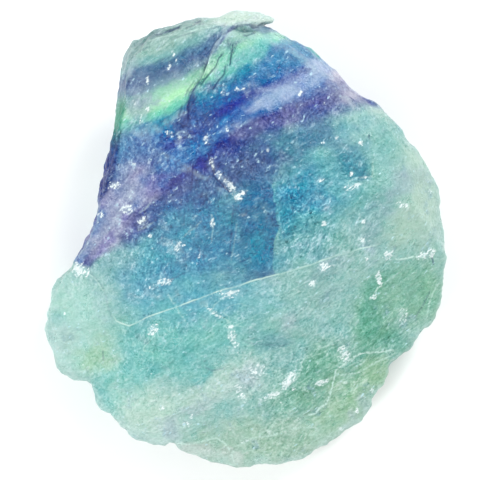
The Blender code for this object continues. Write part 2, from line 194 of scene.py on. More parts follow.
def by_angle(values, theta, angles=RIM_ANGLE):
    a = np.radians(np.array(list(angles) + [angles[0] + 360.0]))
    v = np.array(list(values) + [values[0]])
    t = np.mod(theta - a[0], 2 * np.pi) + a[0]
    i = np.clip(np.searchsorted(a, t, side="right") - 1, 0, len(a) - 2)
    f = (t - a[i]) / (a[i + 1] - a[i])
    f = f * f * (3 - 2 * f)
    return v[i] * (1 - f) + v[i + 1] * f


def rim_radius(theta):
    pts = np.array(RIM)
    a = np.arctan2(pts[:, 1], pts[:, 0])
    order = np.argsort(a)
    a, r = a[order], np.hypot(pts[:, 0], pts[:, 1])[order]
    a = np.concatenate([a[-1:] - 2 * np.pi, a, a[:1] + 2 * np.pi])
    r = np.concatenate([r[-1:], r, r[:1]])
    return np.interp(theta, a, r)


def support(degrees):
    """How far the rim reaches in a direction, and its height where it does."""
    a = math.radians(degrees)
    pts = np.array(RIM)
    far = pts @ np.array([math.cos(a), math.sin(a)])
    x, y = pts[np.argmax(far)]
    return float(far.max()), float(by_angle(RIM_HEIGHT, np.array([math.atan2(y, x)]))[0])


def calm_radius(theta):
    total, weights = 0.0, 0.0
    for k in range(-4, 5):
        w = math.exp(-0.5 * (k / 2.0) ** 2)
        t = theta + math.radians(RIM_CALM) * k / 4.0
        t = np.mod(t + np.pi, 2 * np.pi) - np.pi
        total = total + w * rim_radius(t)
        weights += w
    return total / weights


def side_of(line, x, y, open_ends=True):
    """Signed distance to a line in plan, positive on its right side; also
    how far along it (0 to 1) the nearest point is."""
    pts = np.array(line, float)
    best = np.full(x.shape, 1e9)
    sign = np.ones(x.shape)
    along = np.zeros(x.shape)
    seg = np.hypot(*np.diff(pts, axis=0).T)
    start = np.concatenate([[0], np.cumsum(seg)])
    last = len(pts) - 2
    for i in range(len(pts) - 1):
        (ax, ay), (bx, by) = pts[i], pts[i + 1]
        ux, uy = bx - ax, by - ay
        t = ((x - ax) * ux + (y - ay) * uy) / (ux * ux + uy * uy)
        lo = -1e3 if (i == 0 and open_ends) else 0.0
        hi = 1e3 if (i == last and open_ends) else 1.0
        t = np.clip(t, lo, hi)
        qx, qy = x - (ax + t * ux), y - (ay + t * uy)
        d = np.hypot(qx, qy)
        s = np.sign(qx * uy - qy * ux)
        closer = d < best - 1e-9
        best = np.where(closer, d, best)
        sign = np.where(closer, s, sign)
        along = np.where(closer, (start[i] + np.clip(t, 0, 1) * seg[i]) / start[-1], along)
    return best * np.where(sign == 0, 1, sign), along


def upper_side(x, y):
    """Height of the upper side over the plan position (x, y), in mm."""
    z = PLATEAU - 0.07 * y - 0.0050 * x * x - 0.0016 * (y - 2) ** 2 - 0.03 * x
    z = z - 0.26 * ramp(-x - 5.0 - 0.10 * y, 6.0)
    z = z - 0.22 * ramp(x - 9.0 + 0.15 * y, 7.0)
    z = z - 0.46 * ramp(-0.6 * x - 0.8 * y - 20.0, 3.0)
    drop = np.zeros_like(z)
    e = side_of(CREASE_ARC, x, y)[0]
    drop = smax(drop, 0.40 * e + 0.0125 * np.clip(e, 0, 60) ** 2, EDGE_ROUND * 0.35)
    d = side_of(CREASE_LOBE, x, y)[0]
    drop = smax(drop, 0.78 * d + 0.006 * np.clip(d, 0, 60) ** 2, EDGE_ROUND)
    d = -side_of(CREASE_LOWER_RIGHT, x, y)[0]
    drop = smax(drop, 0.62 * d + 0.10 * e, EDGE_ROUND * 1.6)
    d = -side_of(CREASE_RIGHT, x, y)[0]
    drop = smax(drop, 0.70 * d, EDGE_ROUND * 1.6)
    d = -side_of(CREASE_TOP, x, y)[0]
    drop = smax(drop, 1.15 * d, EDGE_ROUND * 1.6)
    d = side_of(CREASE_LEFT_WALL, x, y)[0]
    drop = smax(drop, 3.2 * d, EDGE_ROUND * 0.8)
    z = z - drop
    d = side_of(CREASE_SHOULDER, x, y)[0]
    fade = smoothstep(12.5, 18.5, y) * np.exp(-(np.clip(d, 0, 60) / 9.0) ** 2)
    wide = 0.35 + 1.2 * smoothstep(20.6, 15.6, y)
    z = z - 0.95 * smoothstep(-0.12, wide, d) * fade - 0.20 * ramp(d, 1.0) * fade
    return z


class Field:
    """A plan-view field sampled on a fine grid and read back bilinearly."""
    STEP = 0.1
    X0, Y0, NX, NY = -31.0, -34.0, 621, 681

    @classmethod
    def grid(cls):
        xs = cls.X0 + cls.STEP * np.arange(cls.NX)
        ys = cls.Y0 + cls.STEP * np.arange(cls.NY)
        return np.meshgrid(xs, ys)

    def __init__(self, values):
        self.v = values

    def __call__(self, x, y):
        fx = np.clip((x - self.X0) / self.STEP, 0, self.NX - 1.001)
        fy = np.clip((y - self.Y0) / self.STEP, 0, self.NY - 1.001)
        ix, iy = fx.astype(int), fy.astype(int)
        fx, fy = fx - ix, fy - iy
        v = self.v
        return ((v[iy, ix] * (1 - fx) + v[iy, ix + 1] * fx) * (1 - fy)
                + (v[iy + 1, ix] * (1 - fx) + v[iy + 1, ix + 1] * fx) * fy)


def plan_topology(n, rows, nb):
    """A closed grid: an n x n top, rows of walls and an nb x nb base.

    Returns each vertex's share of the core disc, direction round the stone,
    and lean of its ray from upright, with the faces."""
    def square(m):
        g = np.linspace(-1, 1, m + 1)
        u, v = np.meshgrid(g, g)
        a, b = u.ravel(), v.ravel()
        r = np.maximum(np.abs(a), np.abs(b))
        big = np.abs(a) > np.abs(b)
        with np.errstate(divide="ignore", invalid="ignore"):
            phi = np.where(big, (np.pi / 4) * (b / np.where(a == 0, 1, a)),
                           np.pi / 2 - (np.pi / 4) * (a / np.where(b == 0, 1, b)))
        rad = np.where(big, a, b)
        x, y = rad * np.cos(phi), rad * np.sin(phi)
        return np.hypot(x, y), np.arctan2(y, x)

    def ring(m):
        i = lambda r, c: r * (m + 1) + c
        out = [i(0, c) for c in range(m)]
        out += [i(r, m) for r in range(m)]
        out += [i(m, c) for c in range(m, 0, -1)]
        out += [i(r, 0) for r in range(m, 0, -1)]
        return out

    rho, th = square(n)
    share, angle, lean, low = [rho], [th], [TOP_LEAN * rho ** 3], [0 * rho]
    faces = []
    for r in range(n):
        for c in range(n):
            k = r * (n + 1) + c
            faces.append((k, k + 1, k + n + 2, k + n + 1))
    edge = ring(n)
    edge_th = th[edge]
    count = len(rho)
    prev = edge
    for j in range(1, rows + 1):
        t = j / rows
        share.append(np.ones(len(edge)))
        angle.append(edge_th)
        lean.append(np.full(len(edge), TOP_LEAN + (BASE_LEAN - TOP_LEAN) * t))
        low.append(np.full(len(edge), t * t * (3 - 2 * t)))
        now = list(range(count, count + len(edge)))
        for i in range(len(edge)):
            k = (i + 1) % len(edge)
            faces.append((prev[k], prev[i], now[i], now[k]))
        prev = now
        count += len(edge)
    rho, th = square(nb)
    share.append(rho * 0.97)
    angle.append(th)
    lean.append(np.pi - (np.pi - BASE_LEAN) * rho ** 3)
    low.append(np.ones_like(rho))
    base = count
    for r in range(nb):
        for c in range(nb):
            k = base + r * (nb + 1) + c
            faces.append((k + nb + 1, k + nb + 2, k + 1, k))
    inner = [base + k for k in ring(nb)]
    ratio = len(edge) // len(inner)
    for i in range(len(inner)):
        k = (i + 1) % len(inner)
        fine = [prev[(i * ratio + m) % len(edge)] for m in range(ratio + 1)]
        mid = ratio // 2
        faces.append((inner[k], inner[i], fine[mid]))
        for m in range(mid):
            faces.append((inner[i], fine[m], fine[m + 1]))
        for m in range(mid, ratio):
            faces.append((inner[k], fine[m], fine[m + 1]))
    join = np.concatenate
    return join(share), join(angle), join(lean), join(low), faces


TOP_LEAN = math.radians(52)
BASE_LEAN = math.radians(172)
CORE_HEIGHT = 7.5
CORE_SHARE = 0.80
TOP_CELLS, WALL_ROWS, BASE_CELLS = 232, 40, 58


def cast(share, angle, lean, low, top):
    """Where each ray from the core disc leaves the stone. low is 0 for rays
    from the wide upper disc, 1 for rays from the narrower one over the base."""
    c, s = np.cos(angle), np.sin(angle)
    rim, calm = rim_radius(angle), calm_radius(angle)
    rim_z = by_angle(RIM_HEIGHT, angle)
    up, down = by_angle(DRAW_ABOVE, angle), by_angle(DRAW_BELOW, angle)
    soft = by_angle(RIM_SOFT, angle)
    dr, dz = np.sin(lean), np.cos(lean)

    planes = []
    for facing, tilt, off in FACETS:
        a, b = math.radians(facing), math.radians(tilt)
        reach, height_there = support(facing)
        n = (math.cos(a) * math.cos(b), math.sin(a) * math.cos(b), -math.sin(b))
        planes.append((*n, (reach + off) * math.cos(b) + n[2] * height_there))

    def outside(r, z):
        x, y = r * c, r * s
        above, below = np.clip(z - rim_z, 0, 40), np.clip(rim_z - z, 0, 40)
        band = np.exp(-((above + below) / RIM_BAND) ** 2)
        wall = r - (calm + (rim - calm) * band)
        wall = wall + up * above * above / (above + soft)
        wall = wall + down * below * below / (below + soft)
        f = smax(wall, (z - top(x, y)) * 0.85, EDGE_ROUND)
        for nx, ny, nz, off in planes:
            f = smax(f, nx * x + ny * y + nz * z - off, FACET_ROUND)
        q = np.stack([x, y, 1.25 * z], axis=1)
        rough = 0.80 * noise3(q / 8.5 + 3.1)
        rough += 0.42 * np.abs(noise3(q / 4.2 + 9.7))
        calmer = smoothstep(1.2, 5.0, np.abs(wall))
        f = f + rough * (0.30 + 0.70 * calmer)
        return smax(f, -z, 0.25) > 0

    near, far = 0.4 * calm, 1.1 * calm          # edge of the base
    for _ in range(9):
        mid = 0.5 * (near + far)
        out = outside(mid, np.full_like(mid, 0.4))
        far = np.where(out, mid, far)
        near = np.where(out, near, mid)
    foot = np.minimum(near - 1.3, CORE_SHARE * calm)
    r0 = share * (CORE_SHARE * calm * (1 - low) + foot * low)
    near, far = np.zeros_like(r0), np.full_like(r0, 26.0)
    for _ in range(17):
        mid = 0.5 * (near + far)
        out = outside(r0 + dr * mid, CORE_HEIGHT + dz * mid)
        far = np.where(out, mid, far)
        near = np.where(out, near, mid)
    t = 0.5 * (near + far)
    r, z = r0 + dr * t, CORE_HEIGHT + dz * t
    return np.stack([r * c, r * s, np.maximum(z, 0.0)], axis=1)


def soften(v, cells):
    """Blurs a plan field by about this many cells, twice."""
    for _ in range(2):
        for axis in (0, 1):
            c = np.cumsum(np.pad(v, [(cells + 1, cells) if k == axis else (0, 0) for k in (0, 1)], mode="edge"), axis=axis)
            v = (np.take(c, range(2 * cells + 1, c.shape[axis]), axis=axis)
                 - np.take(c, range(0, c.shape[axis] - 2 * cells - 1), axis=axis)) / (2 * cells + 1)
    return v


def lean_flake(p):
    q = p.copy()
    lift = smoothstep(27.6, 28.5, p[:, 1])
    span = smoothstep(-4.0, 2.0, p[:, 0])
    q[:, 0] += LEAN * lift * span
    return q


def vertex_normals(p, tris):
    a, b, c = p[tris[:, 0]], p[tris[:, 1]], p[tris[:, 2]]
    n = np.cross(b - a, c - a)
    out = np.zeros_like(p)
    for k in range(3):
        for j in range(3):
            out[:, j] += np.bincount(tris[:, k], n[:, j], len(p))
    return out / np.maximum(np.linalg.norm(out, axis=1, keepdims=True), 1e-12)


# ------------------------------------------------------- places on the stone
def at(px, py):
    """A place in plan, counted in 0.13 mm steps from the upper left of the
    480-step square that the stone is seen in from above."""
    return (px - 242.5) * 0.13, (241 - py) * 0.13


def line(*places):
    return [at(px, py) for px, py in places]


def blob(x, y, px, py, rx, ry, turn=0.0, power=2.0):
    """1 in the middle of a soft oval, falling to 0 outside it."""
    cx, cy = at(px, py)
    a = math.radians(turn)
    dx, dy = x - cx, y - cy
    u = (dx * math.cos(a) + dy * math.sin(a)) / (rx * 0.13)
    v = (-dx * math.sin(a) + dy * math.cos(a)) / (ry * 0.13)
    return np.exp(-np.power(u * u + v * v, power / 2.0))


def blobs(x, y, *ovals):
    """Several soft ovals joined: each is (amount, px, py, rx, ry, turn)."""
    rest = np.ones(x.shape)
    for amount, px, py, rx, ry, turn in ovals:
        rest = rest * (1 - amount * blob(x, y, px, py, rx, ry, turn, 2.4))
    return 1 - rest


def window(pts, margin):
    """The part of the plan grid that lies round some points."""
    p = np.array(pts, float)
    (x0, y0), (x1, y1) = p.min(0) - margin, p.max(0) + margin
    i0, i1 = int((x0 - Field.X0) / Field.STEP), int((x1 - Field.X0) / Field.STEP) + 2
    j0, j1 = int((y0 - Field.Y0) / Field.STEP), int((y1 - Field.Y0) / Field.STEP) + 2
    return (slice(max(j0, 0), min(j1, Field.NY)), slice(max(i0, 0), min(i1, Field.NX)))


def cut(h, places, width, depth, lower=0.0, reach=2.0, ends=0.12):
    """Cuts a crack into a height field. Past it, on the right-hand side, the
    surface also sits lower, and comes back over the reach."""
    pts = line(*places)
    w = window(pts, 3 * width * 0.13 + (2.2 * reach if lower else 0.0) + 0.2)
    d, t = side_of(pts, gx[w], gy[w], open_ends=False)
    hold = smoothstep(0, ends, t) * smoothstep(0, ends, 1 - t)
    dig = depth * np.exp(-(d / (width * 0.13)) ** 2)
    if lower:
        dig = dig + lower * smoothstep(-0.10, 0.14, d) * np.exp(-(np.clip(d, 0, 60) / reach) ** 2)
    h[w] -= dig * hold


# Cracks, scars and steps of the upper side: places, width in steps, depth and
# how much lower the right-hand side sits in mm, and the reach of that.
CRACKS = [
    ([(210, 60), (205.3, 70), (202, 81), (197, 90), (192.5, 97), (190, 106), (187.5, 119)], 1.8, 0.34, 0.0, 1.0),
    ([(225, 56), (219, 63), (217, 70), (211, 77), (204, 85), (200, 91)], 1.7, 0.30, 0.16, 1.2),
    ([(233.4, 48), (231.7, 59), (230, 71)], 1.7, 0.34, 0.12, 0.9),
    ([(228.3, 43), (228.8, 54)], 1.4, 0.11, 0.0, 1.0),
    ([(237.6, 46), (234.6, 57)], 1.5, 0.11, 0.0, 1.0),
    ([(226, 68), (224.8, 78), (218, 86), (213, 94)], 1.5, 0.15, 0.12, 0.9),
    ([(227, 38), (232, 33), (237.4, 29.8), (247.8, 28.4), (264, 28)], 1.6, 0.34, -0.12, 1.3),
    ([(242, 40), (247, 40.3), (252, 38.6), (256, 36.8)], 1.5, 0.12, 0.0, 1.0),
    ([(165, 35.5), (174, 31.8), (182, 28.2)], 1.5, 0.21, 0.13, 0.8),
    ([(195, 24.4), (202, 23.4)], 1.5, 0.15, 0.0, 0.8),
    ([(153, 38.5), (159, 37.6), (165, 36)], 1.4, 0.1, 0.0, 0.8),
    ([(229.5, 258), (230.5, 245), (232, 226), (234, 206), (236, 202)], 1.5, 0.12, 0.08, 1.8),
    ([(194.4, 165), (193.8, 178), (192.4, 193)], 1.5, 0.10, 0.0, 1.8),
    ([(208, 152), (212, 166), (215, 173.5), (213.8, 177), (221.4, 185), (229, 192.6), (235, 193)], 1.5, 0.16, 0.0, 1.0),
    ([(392, 259.5), (401, 258.6), (412, 256.4), (424, 257.2)], 1.5, 0.11, 0.2, 1.4),
    ([(431, 253), (430.4, 258), (432.4, 265)], 1.5, 0.28, 0.0, 1.0),
    ([(300, 416), (314.8, 413.6), (320, 407.5), (325.6, 403.7), (329, 397), (332.7, 382), (335, 369),
      (350, 358), (360, 352.8), (380, 351.5), (400, 349)], 1.5, 0.06, 0.24, 3.4),
    ([(336, 375), (347, 374), (358, 371.8), (372, 364), (399, 351.6)], 1.4, 0.06, 0.1, 1.4),
    ([(172, 443.5), (189.5, 445), (204, 441), (217, 438.4), (224, 443), (229.4, 450), (233.5, 459), (235, 468)], 1.5, 0.1, 0.3, 4.0),
    ([(239, 338), (247, 341.4), (258, 343), (269, 343.2), (281, 345), (290, 341)], 1.5, 0.0, 0.0, 1.0),
    ([(288, 428.6), (305, 427.4), (322, 428.2)], 1.4, 0.07, 0.1, 1.2),
    ([(232, 447.6), (243, 443.6), (252, 438), (268, 436), (281, 433)], 1.5, 0.06, 0.08, 1.2),
    ([(86, 265.5), (95, 275), (103, 285), (107.6, 297), (110, 308), (115, 322)], 1.5, 0.08, 0.0, 1.0),
    ([(103.6, 350), (104.4, 361)], 1.2, 0.08, 0.0, 1.0),
    ([(166.5, 280.8), (176.7, 276.7), (188, 271.6)], 1.5, 0.08, 0.0, 1.0),
    ([(169, 292), (172, 298), (175.4, 304)], 1.2, 0.06, 0.0, 1.0),
    ([(140, 214), (147, 210), (153, 203)], 1.1, 0.05, 0.0, 1.0),
    ([(139, 231), (147, 227.6), (156, 222)], 1.2, 0.06, 0.0, 1.0),
    ([(141, 226), (146, 223), (151, 217)], 1.1, 0.05, 0.0, 1.0),
    ([(183, 238.6), (190, 232), (196, 228), (204, 220)], 1.2, 0.05, 0.0, 1.0),
    ([(300, 71.6), (305, 73), (310, 72.4)], 1.5, 0.11, 0.0, 1.0),
    ([(298, 75.6), (304, 76.4), (309, 75.4)], 1.3, 0.09, 0.0, 1.0),
    ([(377, 285), (374, 291), (371.4, 296.4), (367, 299.6)], 1.2, 0.06, 0.0, 1.0),
    ([(438, 281), (433, 291), (428.6, 303), (425.6, 322)], 1.5, 0.0, -0.14, 1.6),
    ([(385, 243), (378, 280), (370, 300), (355, 330), (340, 350), (325, 370)], 1.5, 0.0, -0.13, 2.2),
    ([(278.6, 150), (278.4, 200), (278, 251), (277, 273)], 1.5, 0.02, -0.08, 2.6),
    ([(369.6, 160), (370, 170), (369.4, 178), (351, 179.4), (339, 188.6)], 1.5, 0.03, 0.11, 2.0),
    ([(205, 366), (213, 369.6), (226, 367)], 1.4, 0.07, 0.0, 1.0),
    ([(236, 382), (239, 390), (244, 398)], 1.5, 0.08, 0.07, 1.0),
]

# Bruises, where the surface is crushed white: px, py, rx, ry, turn, strength.
BRUISES = [
    (237.8, 198.4, 4.0, 3.2, -35, 1.3), (229.5, 186.5, 10, 2.7, -50, 1.1), (221, 178, 6, 2.4, -48, 0.8), (213.4, 167, 2.2, 7, 18, 0.72),
    (242, 194, 5, 3, 10, 0.55), (116.4, 186, 5.2, 3.0, 15, 1.05), (129.4, 210, 5.6, 3.6, 15, 0.85),
    (132, 196.4, 3.0, 2.8, 0, 0.62), (143.5, 220.5, 4.2, 2.6, 38, 0.85), (137.4, 165.6, 1.8, 1.6, 0, 1.0),
    (152, 236, 1.7, 1.7, 0, 1.25), (80, 269, 9.5, 6.0, -35, 0.98), (103.5, 214, 2.6, 4.6, -15, 0.7),
    (99.6, 222, 2.0, 3.2, -15, 0.75), (180, 245, 6.5, 5.4, -30, 0.5), (166.5, 281.5, 7, 2.8, 10, 0.72),
    (154.4, 286, 4.4, 4.0, 55, 0.55), (230, 292.5, 12, 4.2, 8, 0.70), (154, 328.6, 3.4, 6.0, -30, 0.95),
    (233, 337, 4.0, 14, 14, 0.62), (215, 311, 10, 2.6, -35, 0.5), (291, 375, 3.0, 6.0, -42, 0.7), (255, 369, 8.5, 5.6, 18, 0.72), (240, 391, 3.6, 10, 26, 0.55),
    (286, 382.6, 3.0, 8.6, -42, 1.05), (272.6, 393.6, 9.4, 3.0, 12, 0.85), (293.4, 388, 2.0, 2.6, 0, 0.8),
    (321, 382, 5.2, 1.9, 14, 1.3), (344, 353, 6.0, 6.4, 20, 0.85), (345.4, 359.6, 2.6, 2.0, 0, 0.8),
    (376.8, 277, 2.8, 7.4, 12, 0.95), (372, 296.6, 3.6, 3.0, 0, 0.55), (385.5, 254.6, 3.6, 5.4, -28, 0.95),
    (421, 255, 5.6, 3.0, 15, 1.05), (429.6, 253.4, 3.6, 4.0, 0, 0.8), (402, 316, 4.6, 7.4, 0, 0.55),
    (371, 391, 3.8, 2.8, 40, 0.85), (356.9, 410.7, 1.4, 1.4, 0, 1.3), (345, 428, 7.4, 2.4, 16, 0.75),
    (246, 440.7, 4.4, 2.2, 12, 0.6), (192, 417, 2.4, 4.6, -30, 0.7), (187, 423, 4.4, 4.0, 0, 0.45),
    (163, 408, 3.6, 1.8, 0, 0.5), (358, 145, 1.7, 2.4, 0, 1.2), (321, 145, 1.4, 1.4, 0, 1.0),
    (334.4, 139.8, 1.4, 1.4, 0, 0.9), (348.5, 175.7, 1.9, 1.6, 0, 1.15), (362, 178.5, 1.6, 1.4, 0, 1.2),
    (321.7, 223.3, 2.0, 2.4, -30, 1.1), (360.2, 222, 1.6, 1.6, 0, 1.0), (364.8, 258.7, 1.7, 1.5, 0, 1.0),
    (428.6, 191, 2.2, 2.2, 0, 0.9), (438.4, 218.5, 1.4, 2.4, 0, 0.9), (399, 205.9, 5.5, 4.0, -25, 0.55),
    (347, 188, 9, 2.6, 14, 0.55), (312, 282, 3.8, 2.4, 30, 0.75), (324, 265.6, 6.0, 4.6, 20, 0.60),
    (360, 240, 3.0, 1.6, 0, 0.8), (366.8, 241.6, 1.8, 1.4, 0, 0.9), (175.4, 57, 1.6, 2.6, 0, 0.95),
    (177.7, 62.8, 1.4, 1.4, 0, 0.9), (170.9, 69.7, 1.4, 2.2, 0, 1.15), (149.4, 83, 1.8, 3.0, 10, 0.9),
    (149.6, 111.6, 1.6, 1.8, 0, 1.2), (137, 105.3, 1.5, 1.5, 0, 1.0), (142.7, 122, 2.2, 1.6, 20, 0.9),
    (223.7, 97.3, 1.9, 1.7, 0, 1.1), (237, 93, 2.0, 1.5, 0, 1.0), (243.4, 92.6, 1.5, 1.5, 0, 1.15),
    (171.4, 136.3, 3.4, 1.5, -20, 0.9), (181.2, 140.9, 1.6, 2.8, 0, 0.9), (227, 131.7, 1.5, 2.4, 18, 1.0),
    (207.6, 142, 2.6, 5.4, 12, 0.55), (298.6, 97, 1.6, 1.6, 0, 1.35), (321.8, 106.4, 1.2, 1.2, 0, 1.1),
    (300, 44.6, 3.6, 1.6, -25, 0.85), (339.4, 61.6, 1.6, 1.6, 0, 0.8), (344, 84, 2.4, 3.4, -40, 0.65),
    (375, 99, 1.6, 1.4, 0, 0.8), (244, 215.6, 4.0, 1.6, 0, 0.75), (213, 224, 2.0, 5.6, 4, 0.62),
    (200, 256, 1.4, 1.4, 0, 0.9), (108, 300, 1.4, 1.6, 0, 0.7), (320, 182, 3.0, 1.6, 20, 0.5),
]


def cells3(p, size, shift=0.0):
    """Squared distance to the nearest of a scatter of points, in squares of
    the spacing: 0 at a point, largest where three cells meet."""
    q = p / size + shift
    cell = np.floor(q).astype(np.int64)
    best = np.full(len(q), 9.0)
    for dx in (-1, 0, 1):
        for dy in (-1, 0, 1):
            for dz in (-1, 0, 1):
                k = cell + np.array([dx, dy, dz])
                h = TABLE[TABLE[TABLE[k[:, 0] & 255] + (k[:, 1] & 255)] + (k[:, 2] & 255)]
                d = q - (k + 0.5 + 0.42 * GRADS[h])
                best = np.minimum(best, (d * d).sum(1))
    return best


def ledges(p, way, step, shift):
    """Small steps along parallel cleavage planes: a slow rise, then a drop."""
    n = np.array(way, float)
    n /= np.linalg.norm(n)
    t = p @ n / step + 0.55 * noise3(p / 6.5 + shift) + shift
    f = t - np.floor(t)
    return np.where(f < 0.86, f / 0.86, (1 - f) / 0.14) - 0.5


# ------------------------------------------------------------ the fine stone
gx, gy = Field.grid()
height = upper_side(gx, gy)
uncut = height.copy()

for places, width, depth, lower, reach in CRACKS:
    cut(height, places, width, depth, lower, reach)
x0, y0 = at(246.6, 32.2)                                   # pocket under the flake
w = window([(x0, y0)], 2.6)
height[w] -= 1.1 * blob(gx[w], gy[w], 246.6, 31.8, 9.5, 3.4, 0, 3.0)
bruise = np.zeros_like(height)
for px, py, rx, ry, turn, strength in BRUISES:
    w = window([at(px, py)], 0.13 * 2.4 * max(rx, ry) + 0.3)
    bruise[w] = np.maximum(bruise[w], strength * blob(gx[w], gy[w], px, py, rx, ry, turn))
cuts = Field(uncut - height)
height -= 0.16 * np.clip(bruise, 0, 1) * (0.4 + 2.4 * np.abs(noise2(gx, gy, 0.7, 4.4)))
top = Field(height)

# where the surface is rough (1) or smooth (0), in plan
hackly = np.clip(0.62 + 0.4 * blobs(gx, gy, (1, 300, 215, 32, 42, 0), (0.9, 315, 385, 70, 48, 25),
                                    (0.7, 185, 150, 40, 26, 20), (0.6, 160, 230, 60, 40, 20))
                 - 0.45 * blobs(gx, gy, (1, 415, 215, 30, 40, 0), (0.8, 160, 85, 46, 34, 25),
                                (0.7, 70, 330, 36, 40, 0), (0.5, 250, 420, 70, 26, 0)), 0.1, 1.0)

share, angle, lean, low, faces = plan_topology(TOP_CELLS, WALL_ROWS, BASE_CELLS)
P = cast(share, angle, lean, low, top)
PLAN = P.copy()                                            # before the surface is roughened
P = lean_flake(P)
tris = np.array([t for f in faces for t in
                 ([f] if len(f) == 3 else [(f[0], f[1], f[2]), (f[0], f[2], f[3])])])
N = vertex_normals(P, tris)
N0 = N
facing = smoothstep(0.30, 0.75, N[:, 2])                   # 1 on the upper side, 0 on the walls
keep = smoothstep(0.05, 1.0, P[:, 2])
rough_here = Field(hackly)(PLAN[:, 0], PLAN[:, 1]) * facing + 1.0 * (1 - facing)

q = P + 0.35 * np.stack([noise3(P / 2.1 + s) for s in (1.7, 6.1, 11.9)], axis=1)
scar = (0.62 * (cells3(q, 6.4, 0.31) - 0.30) * (0.18 + 0.82 * (1 - facing))
        + 0.30 * (cells3(q, 2.9, 0.77) - 0.30) * (0.30 + 0.70 * (1 - facing))
        + 0.12 * (cells3(q, 1.35, 0.13) - 0.30))
patch = smoothstep(-0.05, 0.25, noise3(P / 8.0 + 14.2)) * (1 - facing)
patch2 = smoothstep(0.0, 0.25, noise3(P / 7.0 + 31.7)) * (1 - facing)
scar += 0.34 * ledges(P, (0.35, -0.2, 0.92), 2.5, 2.3) * patch
scar += 0.26 * ledges(P, (0.75, 0.55, 0.45), 3.3, 7.1) * patch2
stripes = blobs(PLAN[:, 0], PLAN[:, 1], (1, 376, 346, 46, 22, 32), (0.8, 312, 396, 66, 30, 25), (0.8, 160, 44, 46, 18, 22))
slope = np.maximum(facing, smoothstep(0.02, 0.25, N[:, 2]) * smoothstep(18, 22, PLAN[:, 1]))
scar += 0.13 * ledges(P, (-0.50, 0.86, 0.25), 0.70, 4.9) * stripes * slope
scar -= cuts(PLAN[:, 0], PLAN[:, 1]) * (slope - facing)
fine = 0.16 * noise3(P / 2.0 + 21.3) + 0.11 * noise3(P / 0.95 + 5.0) + 0.06 * noise3(P / 0.5 + 15.0)
P = P + N * ((scar * (0.35 + 0.65 * rough_here) - fine * (0.35 + 0.65 * rough_here)) * keep)[:, None]
P[:, 2] = np.maximum(P[:, 2], 0.0)

lo, hi = np.array(CAD_BOX[0]) / MM, np.array(CAD_BOX[1]) / MM
mn, mx = P.min(0), P.max(0)
SHIFT = 0.5 * (lo + hi) - 0.5 * (mn + mx)                  # plan places to finished places
for k in (0, 1):
    P[:, k] = (P[:, k] - 0.5 * (mn[k] + mx[k])) * (hi[k] - lo[k]) / (mx[k] - mn[k]) + 0.5 * (lo[k] + hi[k])

mesh = bpy.data.meshes.new("fluorite_stone")
mesh.from_pydata((P * MM).tolist(), [], faces)
mesh.validate()
mesh.update()
for f in mesh.polygons:
    f.use_smooth = True
stone = bpy.data.objects.new("fluorite_stone", mesh)
bpy.context.scene.collection.objects.link(stone)

# --------------------------------------------------- colour zones, as fields
# The growth bands run between two lines: 0 on the purple one, 13 on the slate
# one, in mm on either side of them.
PURPLE = line((58, 282), (85, 252), (120, 219), (150, 193), (185, 176), (205, 162),
              (232, 139), (260, 124), (290, 112), (320, 101), (350, 91), (380, 80))
SLATE = line((90, 84), (118, 80), (130, 78), (156, 74), (172, 68), (190, 58),
             (207, 49), (222, 42), (240, 34), (262, 24), (300, 5))
d_purple = soften(-side_of(PURPLE, gx, gy)[0], 9)
d_slate = soften(-side_of(SLATE, gx, gy)[0], 9)
gu = 13 * np.clip(d_purple, 0, None) / np.maximum(np.clip(d_purple, 0, None) + np.clip(-d_slate, 0, None), 1e-3)
gu = np.where(d_purple < 0, d_purple, np.where(d_slate > 0, 13 + d_slate, gu))
gv = 0.857 * gx + 0.515 * gy                          # along the bands
riser = side_of(CREASE_SHOULDER, gx, gy)[0]
gu = gu - 1.1 * smoothstep(0.25, -0.25, riser) * smoothstep(4.5, 7.5, gu) * smoothstep(12.5, 10.5, gu) * smoothstep(11, 14, gy)

gu = gu - 4.2 * blob(gx, gy, 104, 270, 32, 18, 42)          # the bands' ragged lower left end
across = side_of(line((243, 18), (226, 40), (214, 58), (206, 74)), gx, gy)[0]
gu = gu - ramp(gu - 10.6, 0.4) * smoothstep(0.25, -0.25, across)       # no slate band past the flake

VX, VY = PLAN[:, 0], PLAN[:, 1]
under = np.clip(top(VX, VY) - PLAN[:, 2], 0, 30)      # below the upper side
u = Field(gu)(VX, VY) + 0.42 * under
v = 0.857 * VX + 0.515 * VY

# the zones' edges wander, so they are read at shifted places
wx = gx + 2.6 * noise2(gx, gy, 6.5, 1.3) + 1.3 * noise2(gx, gy, 2.4, 8.8) + 0.5 * noise2(gx, gy, 0.9, 2.1)
wy = gy + 2.6 * noise2(gx, gy, 6.5, 5.9) + 1.3 * noise2(gx, gy, 2.4, 3.7) + 0.5 * noise2(gx, gy, 0.9, 6.6)
arc = side_of(CREASE_ARC, gx, gy)[0]
above = smoothstep(0.16, -0.16, arc)                  # on the arc's upper side


def zone(values):
    return Field(values)(VX, VY)


def box(x, y, left, right, up, down, soft):
    """1 inside a box in plan, with its own softness on each side."""
    (x0, y0), (x1, y1) = at(left, down), at(right, up)
    sl, sr, su, sd = [k * 0.13 for k in soft]
    return (smoothstep(x0 - sl, x0 + sl, x) * smoothstep(-x1 - sr, -x1 + sr, -x)
            * smoothstep(-y1 - su, -y1 + su, -y) * smoothstep(y0 - sd, y0 + sd, y))


